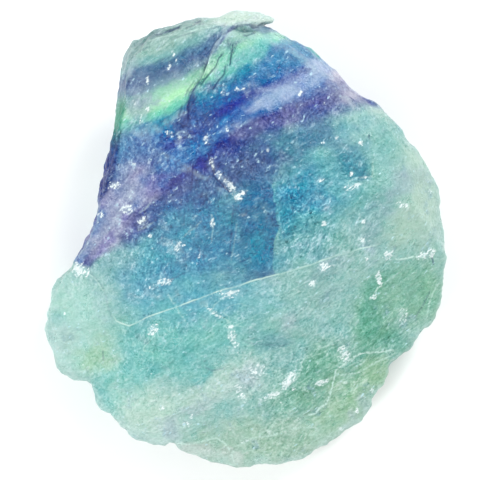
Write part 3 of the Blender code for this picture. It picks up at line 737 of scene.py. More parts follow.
def thickness(points, normals):
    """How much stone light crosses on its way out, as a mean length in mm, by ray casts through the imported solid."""
    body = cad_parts["fluorite"].data
    tree = BVHTree.FromPolygons([tuple(c.co / MM) for c in body.vertices],
                                [tuple(p.vertices) for p in body.polygons])
    total = np.zeros(len(points))
    ways = [(0, 0, 0), (0.8, 0, 0), (-0.4, 0.7, 0), (-0.4, -0.7, 0), (0, 0, 0.7)]
    for w in ways:
        dirs = -normals + np.array(w)
        dirs /= np.linalg.norm(dirs, axis=1, keepdims=True)
        start = points + dirs * 0.9
        for i in range(len(points)):
            total[i] += tree.ray_cast(Vector(start[i]), Vector(dirs[i]), 26.0)[3] or 0.0
    return total / len(ways)


pairs = np.concatenate([tris[:, [0, 1]], tris[:, [1, 2]], tris[:, [2, 0]]])


def spread(values, rounds):
    """Averages a value with its neighbours over the mesh."""
    n = np.bincount(pairs[:, 0], minlength=len(P)) + np.bincount(pairs[:, 1], minlength=len(P))
    for _ in range(rounds):
        t = (np.bincount(pairs[:, 0], values[pairs[:, 1]], len(P))
             + np.bincount(pairs[:, 1], values[pairs[:, 0]], len(P)))
        values = 0.4 * values + 0.6 * t / np.maximum(n, 1)
    return values


deep = spread(thickness(P, N0), 8)
deep = 1.0 - np.exp(-deep / 9.0)

# edges stand out of their neighbourhood (+), cracks and scars lie in it (-)
near = np.stack([spread(P[:, k], 5) for k in range(3)], axis=1)
crest = ((P - near) * vertex_normals(P, tris)).sum(1)


def store(name, values):
    layer = mesh.attributes.new(name, "FLOAT", "POINT")
    layer.data.foreach_set("value", np.ascontiguousarray(values, dtype=np.float32))


Z = {}
Z["aqua"] = blobs(wx, wy, (0.9, 170, 338, 72, 46, 12), (0.6, 122, 372, 36, 34, 0), (0.5, 225, 325, 42, 30, 0),
                  (0.7, 106, 394, 24, 20, 0))
Z["sea"] = blobs(wx, wy, (0.9, 178, 258, 78, 44, 22), (0.75, 212, 300, 42, 20, 18), (0.4, 135, 290, 30, 30, 0))
Z["steel"] = blobs(wx, wy, (0.95, 208, 216, 40, 46, -10), (0.6, 168, 212, 30, 18, 38), (0.45, 185, 262, 40, 24, 25))
Z["indigo"] = blobs(wx, wy, (0.95, 250, 168, 30, 26, 25), (0.6, 200, 195, 22, 18, 30), (0.5, 225, 180, 20, 16, 0))
core = box(wx, gy, 220, 278, 172, 290, (30, 0.1, 30, 10)) * smoothstep(*at(278.8, 0)[:1], at(277.6, 0)[0], gx)
Z["core_low"] = above * blobs(wx, wy, (0.95, 262, 250, 20, 24, 0), (0.6, 240, 262, 20, 16, 0)) * smoothstep(at(279, 0)[0], at(277.4, 0)[0], gx)
Z["core"] = core * above * (0.42 + 0.58 * blobs(wx, wy, (1, 262, 226, 24, 52, 0), (0.8, 267, 188, 16, 28, 0), (0.5, 246, 262, 18, 18, 0)))
Z["right_mid"] = blobs(wx, wy, (0.9, 312, 190, 48, 56, 20), (0.5, 295, 255, 34, 22, 10), (0.7, 284, 264, 11, 8, 10), (0.6, 346, 124, 14, 14, 0)) * (1 - 0.85 * (1 - above))
Z["right_deep"] = blobs(wx, wy, (0.95, 300, 186, 20, 17, 20), (0.75, 289, 220, 13, 20, 0), (0.95, 313, 197, 14, 12, 0), (0.85, 288, 203, 14, 26, 0))
Z["patch"] = blobs(wx, wy, (0.9, 346, 158, 22, 22, -30), (0.9, 356, 170, 16, 11, 0)) * box(gx, gy, 300, 369.5, 120, 182, (14, 1.5, 10, 3))
Z["top_grey"] = blobs(wx, wy, (0.95, 312, 136, 34, 17, 20), (0.6, 285, 150, 20, 20, 0), (0.8, 262, 150, 14, 16, 0))
Z["right_aqua"] = blobs(wx, wy, (0.9, 384, 148, 26, 26, 0), (0.6, 362, 192, 26, 26, 0))
Z["rim_pale"] = blobs(wx, wy, (0.9, 416, 218, 28, 44, -12), (0.7, 408, 168, 16, 30, 30), (0.5, 385, 118, 22, 12, -35), (0.8, 341, 210, 10, 10, 0))
Z["green"] = blobs(wx, wy, (0.95, 376, 318, 26, 46, -14), (0.75, 425, 292, 30, 42, 0), (0.7, 322, 372, 36, 24, 30),
                   (0.5, 300, 400, 44, 22, 20))
Z["green_deep"] = blobs(wx, wy, (0.9, 372, 312, 14, 40, -12), (0.75, 392, 340, 22, 14, 28), (0.55, 318, 370, 22, 14, 25))
Z["green_low"] = blobs(wx, wy, (0.9, 270, 440, 76, 26, 14), (0.7, 205, 452, 34, 14, 0), (0.6, 345, 405, 24, 26, 0))
Z["yellow"] = blobs(wx, wy, (0.9, 376, 372, 18, 20, 30), (0.75, 356, 396, 22, 26, 30), (0.55, 330, 420, 34, 16, 25),
                    (0.7, 92, 356, 24, 20, 0), (0.35, 285, 448, 44, 12, 8))
Z["lobe"] = blobs(wx, wy, (0.95, 72, 318, 36, 50, -8), (0.7, 96, 358, 26, 24, 0))
Z["lobe_grey"] = blobs(wx, wy, (0.8, 56, 338, 20, 20, 0), (0.45, 100, 297, 14, 20, 0))
Z["low_pale"] = blobs(wx, wy, (0.9, 150, 412, 48, 28, -20), (0.6, 215, 392, 54, 24, 22), (0.5, 250, 372, 30, 26, 0))
Z["lavender"] = blobs(wx, wy, (0.9, 170, 430, 12, 12, 20), (0.75, 203, 410, 30, 9, 26), (0.8, 250, 376, 18, 24, -40),
                      (0.7, 289, 322, 13, 12, 30), (0.5, 344, 424, 12, 8, 20))
Z["lilac"] = blobs(wx, wy, (0.65, 322, 268, 22, 10, 35), (0.75, 372, 228, 14, 26, -25), (0.7, 392, 190, 22, 11, 30),
                   (0.4, 420, 182, 20, 10, 0), (0.6, 366, 410, 12, 14, 0))
Z["ledge_pale"] = blobs(wx, gy, (0.95, 190, 449, 24, 9, -6), (0.95, 214, 445, 16, 9, -30), (0.8, 230, 458, 8, 12, 0)) * smoothstep(at(0, 441)[1], at(0, 443.4)[1], gy + 0.10 * (gx + 8))
Z["under_arc"] = blobs(wx, wy, (0.95, 236, 294, 26, 12, 16), (0.6, 262, 304, 30, 14, 20), (0.5, 214, 298, 20, 10, 10)) * (1 - above)
# painted shade: the slate band below the lower arc, a step's shadow line
Z["slate_step_shade"] = blobs(wx, wy, (0.85, 276, 341, 18, 6, 4), (0.6, 258, 340, 26, 8, -6), (0.5, 250, 318, 14, 16, 0))
Z["teal_dark"] = blobs(wx, wy, (0.95, 184, 350, 15, 8, 20), (0.9, 150, 371, 10, 8, 40), (0.9, 203, 371, 19, 6, 18),
                       (0.6, 132, 336, 13, 14, 0), (0.6, 160, 347, 12, 6, 10), (0.6, 222, 351, 15, 5, 10), (0.6, 262, 335, 16, 10, 0), (0.5, 300, 345, 12, 8, 30), (0.5, 58, 316, 10, 7, 25))
Z["grey_blue"] = blobs(wx, wy, (0.9, 142, 233, 34, 15, 32), (0.7, 176, 214, 24, 13, 36))
Z["left_green"] = blobs(wx, wy, (0.9, 104, 262, 20, 10, 32), (0.5, 122, 268, 18, 12, 10))
Z["blue_right"] = blobs(wx, wy, (0.9, 286, 53, 22, 12, 35), (0.85, 269, 63, 16, 11, 30))
Z["purple_spot"] = blobs(wx, wy, (1, 206, 162, 7, 10, 0))
Z["haze_left"] = blobs(wx, wy, (0.85, 112, 207, 22, 28, -20), (0.75, 141, 174, 15, 12, 20), (0.8, 134, 192, 24, 14, 35), (0.6, 156, 197, 14, 9, 35), (0.9, 96, 242, 24, 16, 44), (0.5, 130, 222, 24, 12, 40))
Z["left_pale"] = blobs(wx, wy, (0.85, 135, 108, 22, 18, 0), (0.55, 128, 62, 16, 14, 0))
Z["mauve"] = blobs(wx, wy, (0.85, 126, 217, 13, 5, 45), (0.9, 107, 236, 11, 5, 45), (0.9, 92, 251, 10, 5, 40), (0.7, 160, 188, 15, 6, 35))
# painted shade: the shoulder's riser beside the upper cracks, in dark navy
Z["riser_shade"] = blobs(wx, wy, (0.95, 194, 110, 8, 17, -23), (0.5, 206, 85, 4, 11, -25), (0.85, 181, 133, 12, 9, 0), (0.9, 195, 123, 10, 10, 0), (0.6, 208, 128, 18, 12, 20), (0.5, 220, 92, 12, 9, 20))
Z["strip_lav"] = blobs(wx, wy, (0.95, 265, 106, 17, 8, 26), (0.95, 285, 98, 20, 12, 26), (0.95, 305, 76, 20, 17, 25), (0.8, 320, 66, 16, 14, -30),
                       (0.55, 270, 87, 15, 7, 26), (0.95, 303, 71, 17, 10, 25))
Z["mauve_right"] = blobs(wx, wy, (0.8, 320, 98, 24, 9, 20), (0.7, 344, 90, 16, 9, 15), (1.0, 287, 116, 19, 7, 24),
                         (0.8, 257, 128, 19, 6, 26))
Z["peri_left"] = blobs(wx, wy, (0.85, 137, 148, 24, 22, 10), (0.6, 124, 170, 16, 18, 0), (0.5, 160, 160, 20, 14, 20))
Z["right_haze"] = blobs(wx, wy, (0.95, 335, 83, 14, 12, -30), (0.75, 348, 92, 16, 12, -20))
Z["mint_right"] = blobs(wx, wy, (0.95, 252, 52, 22, 13, 8), (0.5, 232, 66, 14, 16, 0))
Z["flake"] = blobs(wx, gy, (1, 246, 20, 30, 8.5, -6), (0.8, 222, 30, 12, 10, 30)) * smoothstep(at(0, 31.5)[1], at(0, 28.5)[1], gy + 0.0 * gx)
for name, g in Z.items():
    store(name, zone(g))

wall_left = side_of(CREASE_LEFT_WALL, VX, VY)[0]
store("left_wall", smoothstep(-0.35, 0.1, wall_left) * smoothstep(-0.8, 1.2, VY) * smoothstep(19.6, 16.5, VY)
      * smoothstep(7.5, 3.5, under) * (VX < -12))
soft_at = 0.5 + 1.6 * smoothstep(-3.6, -6.0, VY)           # the lobe's edge is soft lower down
store("off_lobe", 1 - smoothstep(-soft_at, soft_at, side_of(CREASE_LOBE, VX + 0.7 * noise2(VX, VY, 1.6, 3.3), VY)[0]) * (VX < -14))
store("left_tone", smoothstep(15.5, 11.5, VY))
store("band_u", u)
store("band_v", v)
store("deep", deep)
store("crest", crest)
store("facing", spread(facing, 1))
store("arc", zone(arc))
store("arc_on", smoothstep(at(112, 0)[0], at(120, 0)[0], VX) * smoothstep(at(385, 0)[0], at(372, 0)[0], VX) * facing)
store("bruise", zone(bruise) * facing)
x0, y0 = at(246.6, 32)
# where the shadow in the pocket under the flake is painted
store("pocket_shadow", blob(VX, VY, 247, 34.2, 11.5, 3.8, 0, 3.0) * (P[:, 2] > 5))
past_core = smoothstep(at(276.6, 0)[0], at(279.4, 0)[0], gx) * blobs(wx, wy, (1, 301, 215, 28, 44, 0))
store("milky", zone(np.clip(past_core - blobs(wx, wy, (0.8, 313, 196, 14, 12, 0)) + blobs(wx, wy, (1.0, 309, 228, 11, 9, 0), (0.6, 291, 240, 9, 8, 0), (0.5, 282, 142, 18, 20, 0), (0.55, 176, 152, 32, 22, 20),
                                  (0.55, 145, 256, 46, 28, 20), (0.6, 175, 220, 40, 20, 30), (0.5, 320, 262, 26, 16, 20),
                                  (0.7, 250, 378, 26, 26, 0), (0.6, 120, 195, 26, 36, 0), (0.4, 268, 302, 38, 16, 10),
                                  (0.5, 225, 96, 26, 12, 20), (0.3, 340, 250, 36, 30, 0), (0.5, 190, 410, 60, 24, 15)), 0, 1)))
smooth = blobs(gx, gy, (0.8, 330, 140, 40, 20, 15), (0.7, 275, 100, 48, 20, 26), (0.6, 250, 60, 30, 16, 30), (0.6, 400, 170, 26, 30, 0), (0.35, 266, 220, 18, 50, 0))
store("hackly", zone(np.clip(hackly - 0.5 * smooth, 0.05, 1.0)))
store("stripes", stripes * facing)


def nearest_line(lines, x, y):
    """Signed and plain distance to the nearest of some lines, and the
    strength of that line there, fading towards its ends."""
    best, signed = np.full(x.shape, 99.0), np.full(x.shape, 99.0)
    weight = np.zeros(x.shape)
    for places, strength in lines:
        d, t = side_of(line(*places), x, y, open_ends=False)
        closer = np.abs(d) < best
        best = np.where(closer, np.abs(d), best)
        signed = np.where(closer, d, signed)
        weight = np.where(closer, strength * smoothstep(0, 0.10, t) * smoothstep(0, 0.10, 1 - t), weight)
    return signed, best, weight


# Dark lines, painted shade: the shade in cracks, the flake's shadow along its lower edge and in the gap along the rim
# beyond it, the shade beside the shoulder's riser and the step line under the lower arc.
DARK = [(CRACKS[k][0], s) for k, s in ((0, 0.85), (1, 0.95), (2, 1.0), (3, 0.5), (4, 0.6), (5, 0.85), (6, 0.75), (7, 0.7),
                                       (8, 0.95), (9, 0.9), (10, 0.6), (11, 0.5), (12, 0.75), (13, 0.85), (15, 0.8),
                                       (19, 0.25), (22, 0.2), (23, 0.5), (24, 0.4), (30, 0.55), (31, 0.45), (37, 0.45))]
DARK += [([(184, 108), (181, 119), (179, 124)], 0.7), ([(189, 104), (190, 116), (189, 126)], 0.8),
         ([(264, 28.4), (276, 31.6), (289, 39.8), (306, 48)], 0.7), ([(239, 262), (246, 258.6), (252, 257)], 0.5),
         ([(366, 136), (366.4, 141)], 0.7), ([(196, 84), (190, 92), (186, 100)], 0.6),
         ([(140, 48), (149, 43), (158, 40)], 0.5), ([(186, 31.5), (196, 28.4), (206, 27)], 0.5),
         ([(172, 44), (184, 39), (198, 35.6)], 0.4), ([(132, 62), (141, 55), (152, 50)], 0.4),
         ([(212, 34), (220, 31), (226, 29)], 0.5), ([(199, 98), (193, 108), (189, 118)], 0.6),
         ([(414, 318), (423, 303), (430, 289)], 0.5)]
# Pale lines: white fracture lines, and painted highlight along the upper edges of the steps at the lower right.
PALE = [(CRACKS[k][0], s) for k, s in ((14, 0.9), (16, 0.85), (17, 0.5), (18, 0.6), (20, 0.5), (21, 0.45), (25, 0.4),
                                       (26, 0.35), (27, 0.4), (28, 0.3), (29, 0.3), (32, 0.7), (33, 0.5), (36, 0.3))]
PALE += [([(212, 213), (214, 225), (212, 244)], 0.25), ([(237, 222), (235.6, 236), (231, 262)], 0.2),
         ([(150, 46), (164, 40), (176, 37)], 0.45), ([(190, 36), (204, 32), (216, 31)], 0.45),
         ([(204, 303), (213, 312), (226, 318), (234, 327), (235, 342)], 0.4),
         ([(176, 300), (180, 312), (188, 322)], 0.3), ([(84, 268), (96, 278), (106, 292)], 0.45),
         ([(236, 348), (229, 336), (229, 322)], 0.35), ([(256, 384), (247, 396), (243, 402)], 0.4),
         ([(306, 381), (302, 388), (309, 392)], 0.35)]
s1, b1, w1 = nearest_line(DARK, VX, VY)
s2, b2, w2 = nearest_line(PALE, VX, VY)
store("dark_at", s1)
store("dark_far", b1)
seen = smoothstep(0.02, 0.25, N[:, 2])
store("dark_on", w1 * seen)
store("pale_at", s2)
store("pale_far", b2)
store("pale_on", w2 * seen)


# ------------------------------------------------------------- the material
class Nodes:
    """Short names for the shader nodes this material is made of."""

    def __init__(self, material):
        self.tree = material.node_tree
        self.nodes, self.links = self.tree.nodes, self.tree.links

    def put(self, socket, value):
        if isinstance(value, bpy.types.NodeSocket):
            self.links.new(value, socket)
        elif isinstance(value, (tuple, list)) and len(value) == 3 and len(socket.default_value) == 4:
            socket.default_value = (*value, 1.0)
        else:
            socket.default_value = value

    def attr(self, name):
        n = self.nodes.new("ShaderNodeAttribute")
        n.attribute_name = name
        return n.outputs["Fac"]

    def math(self, op, a, b=0.0, c=0.0, clamp=False):
        n = self.nodes.new("ShaderNodeMath")
        n.operation, n.use_clamp = op, clamp
        for i, value in enumerate((a, b, c)):
            self.put(n.inputs[i], value)
        return n.outputs[0]

    def add(self, a, b):
        return self.math("ADD", a, b)

    def mul(self, a, b):
        return self.math("MULTIPLY", a, b)

    def span(self, value, lo, hi, to_lo=0.0, to_hi=1.0, smooth=True):
        n = self.nodes.new("ShaderNodeMapRange")
        n.interpolation_type = "SMOOTHSTEP" if smooth else "LINEAR"
        n.clamp = True
        for k, x in zip(("Value", "From Min", "From Max", "To Min", "To Max"), (value, lo, hi, to_lo, to_hi)):
            self.put(n.inputs[k], x)
        return n.outputs["Result"]

    def mix(self, fac, a, b, blend="MIX"):
        n = self.nodes.new("ShaderNodeMix")
        n.data_type, n.blend_type, n.clamp_factor = "RGBA", blend, True
        self.put(n.inputs["Factor"], fac)
        self.put([i for i in n.inputs if i.name == "A" and i.type == "RGBA"][0], a)
        self.put([i for i in n.inputs if i.name == "B" and i.type == "RGBA"][0], b)
        return [o for o in n.outputs if o.type == "RGBA"][0]

    def object_space(self, stretch=(1, 1, 1), turn=0.0):
        """Places on the stone; patterns read there are drawn out by stretch
        along axes turned by so many degrees in plan."""
        if not hasattr(self, "coord"):
            self.coord = self.nodes.new("ShaderNodeTexCoord").outputs["Object"]
        n = self.nodes.new("ShaderNodeMapping")
        n.vector_type = "TEXTURE"
        self.put(n.inputs["Vector"], self.coord)
        n.inputs["Scale"].default_value = stretch
        n.inputs["Rotation"].default_value = (0, 0, math.radians(turn))
        return n.outputs["Vector"]

    def noise(self, vector, size, detail=3.0, rough=0.5, distort=0.0):
        """Noise whose features are about this many millimetres across."""
        n = self.nodes.new("ShaderNodeTexNoise")
        self.put(n.inputs["Vector"], vector)
        n.inputs["Scale"].default_value = 1000.0 / size
        n.inputs["Detail"].default_value = detail
        n.inputs["Roughness"].default_value = rough
        n.inputs["Distortion"].default_value = distort
        return n.outputs["Fac"]

    def cells(self, vector, size, feature="F1", random=1.0):
        n = self.nodes.new("ShaderNodeTexVoronoi")
        n.feature = feature
        self.put(n.inputs["Vector"], vector)
        n.inputs["Scale"].default_value = 1000.0 / size
        n.inputs["Randomness"].default_value = random
        return n.outputs["Distance"], n.outputs["Color"] if feature != "DISTANCE_TO_EDGE" else None

    def ramp(self, fac, stops, mode="EASE"):
        n = self.nodes.new("ShaderNodeValToRGB")
        n.color_ramp.interpolation = mode
        el = n.color_ramp.elements
        while len(el) > 1:
            el.remove(el[-1])
        el[0].position, el[0].color = stops[0][0], (*stops[0][1], 1)
        for pos, col in stops[1:]:
            e = el.new(pos)
            e.color = (*col, 1)
        self.put(n.inputs["Fac"], fac)
        return n.outputs["Color"]

    def gamma(self, colour, power):
        n = self.nodes.new("ShaderNodeGamma")
        self.put(n.inputs["Color"], colour)
        self.put(n.inputs["Gamma"], power)
        return n.outputs["Color"]


def rgb(r, g, b):
    """A colour given as 0 to 255 sRGB, as linear light."""
    def one(c):
        c /= 255.0
        return c / 12.92 if c <= 0.04045 else ((c + 0.055) / 1.055) ** 2.4
    return (one(r), one(g), one(b))


VEIL, GAIN = 0.044, 0.97           # light that the surface adds, and the body's share


def paint(r, g, b):
    """The pigment that looks like this 0 to 255 colour in the studio light."""
    return tuple(min(max((c - VEIL) / GAIN, 0.002), 0.97) for c in rgb(r, g, b))


mat = bpy.data.materials.new("fluorite")
mat.use_nodes = True
T = Nodes(mat)
bsdf = mat.node_tree.nodes["Principled BSDF"]
out = mat.node_tree.nodes["Material Output"]

plain = T.object_space()
along_bands = T.object_space((2.8, 0.75, 1.0), 31)
along_steps = T.object_space((5.0, 0.7, 0.9), 30)
steep = T.object_space((2.4, 0.75, 1.0), 64)
wide = T.noise(plain, 7.0, 2.0)
mid = T.noise(plain, 2.6, 3.0, 0.55)
cloud = T.noise(plain, 2.8, 5.0, 0.66, 0.3)
grain = T.noise(plain, 0.32, 1.0, 0.6)
streak = T.noise(along_bands, 0.70, 3.0, 0.68)
rise = T.noise(steep, 0.70, 3.0, 0.68)
scratch = T.noise(along_steps, 0.55, 3.0, 0.65)
which = T.span(wide, 0.44, 0.58)
stroke = T.add(streak, T.mul(T.add(rise, T.mul(streak, -1.0)), which))

# body of the stone: sea green, deepening to teal and blue where it is thick
deep_a = T.attr("deep")
wob = T.mul(T.add(cloud, -0.5), 0.9)


def soft_mask(name, amount=1.0, lo=0.04, hi=0.92, wobble=True):
    m = T.add(T.attr(name), wob) if wobble else T.attr(name)
    return T.mul(T.span(m, lo, hi), amount)


BASE = ((171, 201, 196), (145, 191, 186))      # thin stone, thick stone
BODY = [
    ("aqua", (123, 193, 189), 0.9), ("low_pale", (190, 217, 205), 0.85), ("lobe", (172, 214, 205), 0.9),
    ("lobe_grey", (172, 202, 199), 0.7), ("rim_pale", (174, 203, 188), 0.85), ("right_aqua", (123, 180, 176), 0.85),
    ("green_low", (167, 198, 180), 0.85), ("green", (129, 181, 155), 0.9), ("green_deep", (95, 166, 147), 0.8),
    ("yellow", (155, 195, 159), 0.75), ("sea", (84, 164, 188), 0.9), ("grey_blue", (130, 196, 202), 0.85),
    ("right_mid", (88, 165, 177), 0.9), ("top_grey", (53, 119, 152), 0.9), ("steel", (21, 130, 167), 0.92),
    ("right_deep", (55, 143, 171), 0.85), ("patch", (11, 138, 157), 0.9), ("indigo", (3, 59, 134), 0.8),
    ("core", (3, 116, 156), 1.0), ("core_low", (3, 141, 168), 0.9), ("teal_dark", (99, 177, 176), 0.7),
    # one entry here is painted shade: the slate band below the lower arc
    ("slate_step_shade", (113, 166, 172), 0.75), ("under_arc", (121, 185, 196), 0.7), ("lavender", (165, 188, 195), 0.7),
    ("left_green", (132, 179, 186), 0.8), ("lilac", (148, 175, 186), 0.62), ("ledge_pale", (183, 199, 193), 0.85),
]
body = T.mix(T.span(deep_a, 0.25, 0.85), paint(*BASE[0]), paint(*BASE[1]))
for name, colour, amount in BODY:
    body = T.mix(soft_mask(name, amount), body, paint(*colour))

# growth bands across the upper end, by their place between the two lines
uu = T.add(T.attr("band_u"), T.mul(T.add(wide, -0.5), 1.3))
uu = T.add(uu, T.mul(T.add(mid, -0.5), 1.3))
uu = T.add(uu, T.mul(T.add(streak, -0.5), 0.8))
LOW, HIGH = -4.0, 30.0
band_at = T.span(uu, LOW, HIGH, smooth=False)
BANDS = [
    (-4.0, (88, 128, 180)), (-2.2, (33, 87, 148)), (-1.1, (79, 99, 153)), (0.1, (59, 71, 143)),
    (1.2, (75, 118, 174)), (2.5, (43, 112, 174)), (3.7, (3, 72, 153)), (5.2, (3, 114, 167)),
    (6.6, (3, 137, 166)), (7.7, (122, 201, 178)), (8.8, (177, 232, 191)), (10.1, (154, 205, 185)),
    (11.2, (122, 150, 170)), (12.2, (91, 115, 152)), (13.2, (86, 121, 154)), (14.3, (132, 178, 179)),
    (15.4, (149, 185, 178)), (18.0, (115, 152, 152)), (20.5, (128, 172, 184)), (22.0, (118, 142, 182)),
    (23.2, (150, 190, 188)), (26.0, (166, 204, 190)), (30.0, (150, 198, 184)),
]
bands = T.ramp(band_at, [((mm - LOW) / (HIGH - LOW), paint(*c)) for mm, c in BANDS])
OVER = [
    ("haze_left", (170, 174, 198), 0.75), ("left_pale", (145, 153, 183), 0.6), ("right_haze", (206, 204, 214), 0.8),
    ("mint_right", (104, 180, 185), 0.8), ("purple_spot", (34, 43, 144), 0.8), ("flake", (203, 225, 212), 0.85),
    ("blue_right", (23, 128, 175), 0.9), ("peri_left", (97, 138, 181), 0.75), ("mauve_right", (105, 112, 158), 0.75),
    # one entry here is painted shade: the dark navy on the shoulder's riser
    ("strip_lav", (157, 178, 208), 0.88), ("riser_shade", (3, 89, 145), 0.92), ("mauve", (126, 124, 182), 0.75),
]
for name, colour, amount in OVER:
    bands = T.mix(soft_mask(name, amount), bands, paint(*colour))
in_bands = T.mul(T.span(uu, -3.6, -1.2), T.attr("off_lobe"))
colour = T.mix(in_bands, body, bands)

# the steep left side, where the bands are seen through more stone, painted darker still as shade on the face turned
# from the light
side = T.mix(T.attr("left_tone"), paint(58, 146, 122), paint(3, 72, 132))
colour = T.mix(T.mul(T.attr("left_wall"), 0.95), colour, side)

# milky mottling, strokes and crisp chips; hues drift a little
vary = T.nodes.new("ShaderNodeHueSaturation")
T.put(vary.inputs["Color"], colour)
T.put(vary.inputs["Hue"], T.add(0.5, T.mul(T.add(T.noise(plain, 3.4, 2.0, 0.6), -0.5), 0.06)))
T.put(vary.inputs["Saturation"], T.add(0.98, T.mul(T.add(cloud, -0.5), -0.5)))
colour = vary.outputs["Color"]

jitter = T.nodes.new("ShaderNodeVectorMath")
jitter.operation = "ADD"
small_noise = T.nodes.new("ShaderNodeTexNoise")
T.put(small_noise.inputs["Vector"], plain)
small_noise.inputs["Scale"].default_value = 1700.0
small_noise.inputs["Detail"].default_value = 1.0
scaled = T.nodes.new("ShaderNodeVectorMath")
scaled.operation = "SCALE"
T.links.new(small_noise.outputs["Color"], scaled.inputs[0])
scaled.inputs["Scale"].default_value = 0.00032
T.put(jitter.inputs[0], plain)
T.links.new(scaled.outputs["Vector"], jitter.inputs[1])
rough_at = jitter.outputs["Vector"]
slant = T.nodes.new("ShaderNodeMapping")
T.put(slant.inputs["Vector"], rough_at)
slant.vector_type = "TEXTURE"
slant.inputs["Scale"].default_value = (1.8, 0.8, 1.0)
slant.inputs["Rotation"].default_value = (0, 0, math.radians(42))


def parts_of(tone):
    n = T.nodes.new("ShaderNodeSeparateColor")
    T.links.new(tone, n.inputs["Color"])
    return n.outputs[0], n.outputs[1], n.outputs[2]


chip_a, chip_b, chip_c = parts_of(T.cells(slant.outputs["Vector"], 0.62)[1])
crumb_a, crumb_b, crumb_c = parts_of(T.cells(slant.outputs["Vector"], 0.24)[1])
milky = T.attr("milky")
crisp = T.add(T.span(T.attr("hackly"), 0.1, 1.0, 0.34, 0.84), T.mul(milky, 0.16))
crisp = T.mul(crisp, T.span(wide, 0.38, 0.62, 0.70, 0.96))
power = T.add(T.mul(T.add(stroke, -0.5), 1.85), T.mul(T.add(chip_a, -0.5), 0.22))
power = T.add(power, T.mul(T.add(crumb_b, -0.5), 0.62))
power = T.add(power, T.add(T.mul(T.add(grain, -0.5), 1.6), T.mul(T.add(cloud, -0.5), 0.6)))
power = T.add(power, T.mul(T.mul(T.add(scratch, -0.5), T.attr("stripes")), 3.0))
colour = T.gamma(colour, T.math("MAXIMUM", T.add(1.02, T.mul(T.mul(power, crisp), -1.0)), 0.45))
milk = T.mul(T.span(T.add(cloud, T.mul(T.add(stroke, -0.5), 0.7)), 0.50, 0.72), T.span(milky, 0.0, 1.0, 0.05, 0.85))
colour = T.mix(milk, colour, T.mix(0.46, colour, paint(206, 232, 242)))

# crumbs of white, thicker where the stone is milky, and a few dark pits
in_core = T.attr("core")
frost = T.mul(T.span(T.add(stroke, T.mul(T.add(cloud, -0.5), 0.7)), 0.44, 0.80, 0.0, 0.23), T.span(in_core, 0.2, 0.9, 1.0, 0.25))
frosted = T.mul(T.math("LESS_THAN", crumb_c, T.mul(frost, T.span(milky, 0.0, 1.0, 0.55, 1.0))), T.span(crumb_a, 0.0, 1.0, 0.15, 0.75, smooth=False))
colour = T.mix(frosted, colour, T.mix(0.85, colour, paint(204, 240, 250)))
pits = T.math("GREATER_THAN", crumb_c, T.add(0.965, T.mul(T.add(stroke, -0.5), 0.20)))
colour = T.mix(T.mul(pits, T.mul(crisp, 0.7)), colour, T.gamma(colour, 1.8))

low_part = T.span(T.attr("arc"), -0.5, 2.0)
# white flecks, drawn out along the strokes, and thin curved cleavage lines
fleck = T.mul(T.mul(T.span(in_core, 0.2, 0.9, 1.0, 0.6), crisp), T.span(T.add(stroke, T.add(T.mul(T.add(chip_b, -0.5), 0.13), T.mul(T.add(cloud, -0.5), 0.5))), 0.63, 0.71))
colour = T.mix(T.mul(fleck, 0.38), colour, T.mix(0.75, colour, paint(226, 244, 248)))
vein = T.noise(T.object_space((2.6, 0.8, 1.0), 24), 3.2, 1.0, 0.5)
vein = T.span(T.math("ABSOLUTE", T.add(vein, -0.5)), 0.013, 0.003)
vein = T.mul(vein, T.span(wide, 0.46, 0.56))
colour = T.mix(T.mul(T.mul(vein, low_part), 0.34), colour, T.mix(0.8, colour, paint(208, 238, 228)))


def specks(size, share, lo, hi, strength):
    """Scattered flecks: cells of this size in mm, this share of them marked."""
    near, tone = T.cells(rough_at, size)
    pick, large, bright = parts_of(tone)
    radius = T.span(large, 0.0, 1.0, lo, hi, smooth=False)
    spot = T.mul(T.span(near, radius, T.mul(radius, 0.45)), T.math("LESS_THAN", pick, share))
    return T.mul(spot, T.span(bright, 0.0, 1.0, strength * 0.4, strength, smooth=False))


white = paint(242, 254, 255)
few = T.span(T.noise(plain, 9.0, 2.0), 0.42, 0.60, 0.2, 1.0)
colour = T.mix(T.mul(specks(1.2, 0.15, 0.04, 0.16, 0.95), few), colour, T.mix(0.85, colour, white))
colour = T.mix(specks(3.0, 0.24, 0.03, 0.09, 1.0), colour, white)

# painted highlight: edges that stand out lightened pale, less on the left wall; painted shade: hollows a little deeper
crest_highlight_shade = T.attr("crest")
colour = T.mix(T.mul(T.span(crest_highlight_shade, 0.030, 0.130, 0.0, 0.32), T.span(T.attr("left_wall"), 0.1, 0.8, 1.0, 0.15)), colour, T.mix(0.75, colour, paint(216, 240, 234)))
colour = T.mix(T.span(crest_highlight_shade, -0.030, -0.140, 0.0, 0.35), colour, T.gamma(colour, 1.5))

# cracks, scratches, the crease's thin line, bruises and the pocket under the flake; the dark in cracks and pocket is
# painted shade, the pale along some edges painted highlight
fray = T.mul(T.add(grain, -0.5), 0.22)
# painted shade along the dark lines
crack_shade_line = T.mul(T.mul(T.span(T.math("ABSOLUTE", T.add(T.attr("dark_at"), fray)), 0.19, 0.04), T.span(T.attr("dark_far"), 0.5, 0.25)),
                  T.attr("dark_on"))
colour = T.mix(T.mul(crack_shade_line, 0.85), colour, T.mix(0.70, T.gamma(colour, 1.8), paint(16, 62, 112)))
# pale lines: white fractures, and painted highlight on step edges
fracture_highlight_line = T.mul(T.mul(T.span(T.math("ABSOLUTE", T.add(T.attr("pale_at"), fray)), 0.18, 0.04), T.span(T.attr("pale_far"), 0.5, 0.25)),
                  T.attr("pale_on"))
colour = T.mix(T.mul(fracture_highlight_line, T.span(grain, 0.35, 0.55, 0.35, 1.0)), colour, paint(208, 236, 228))
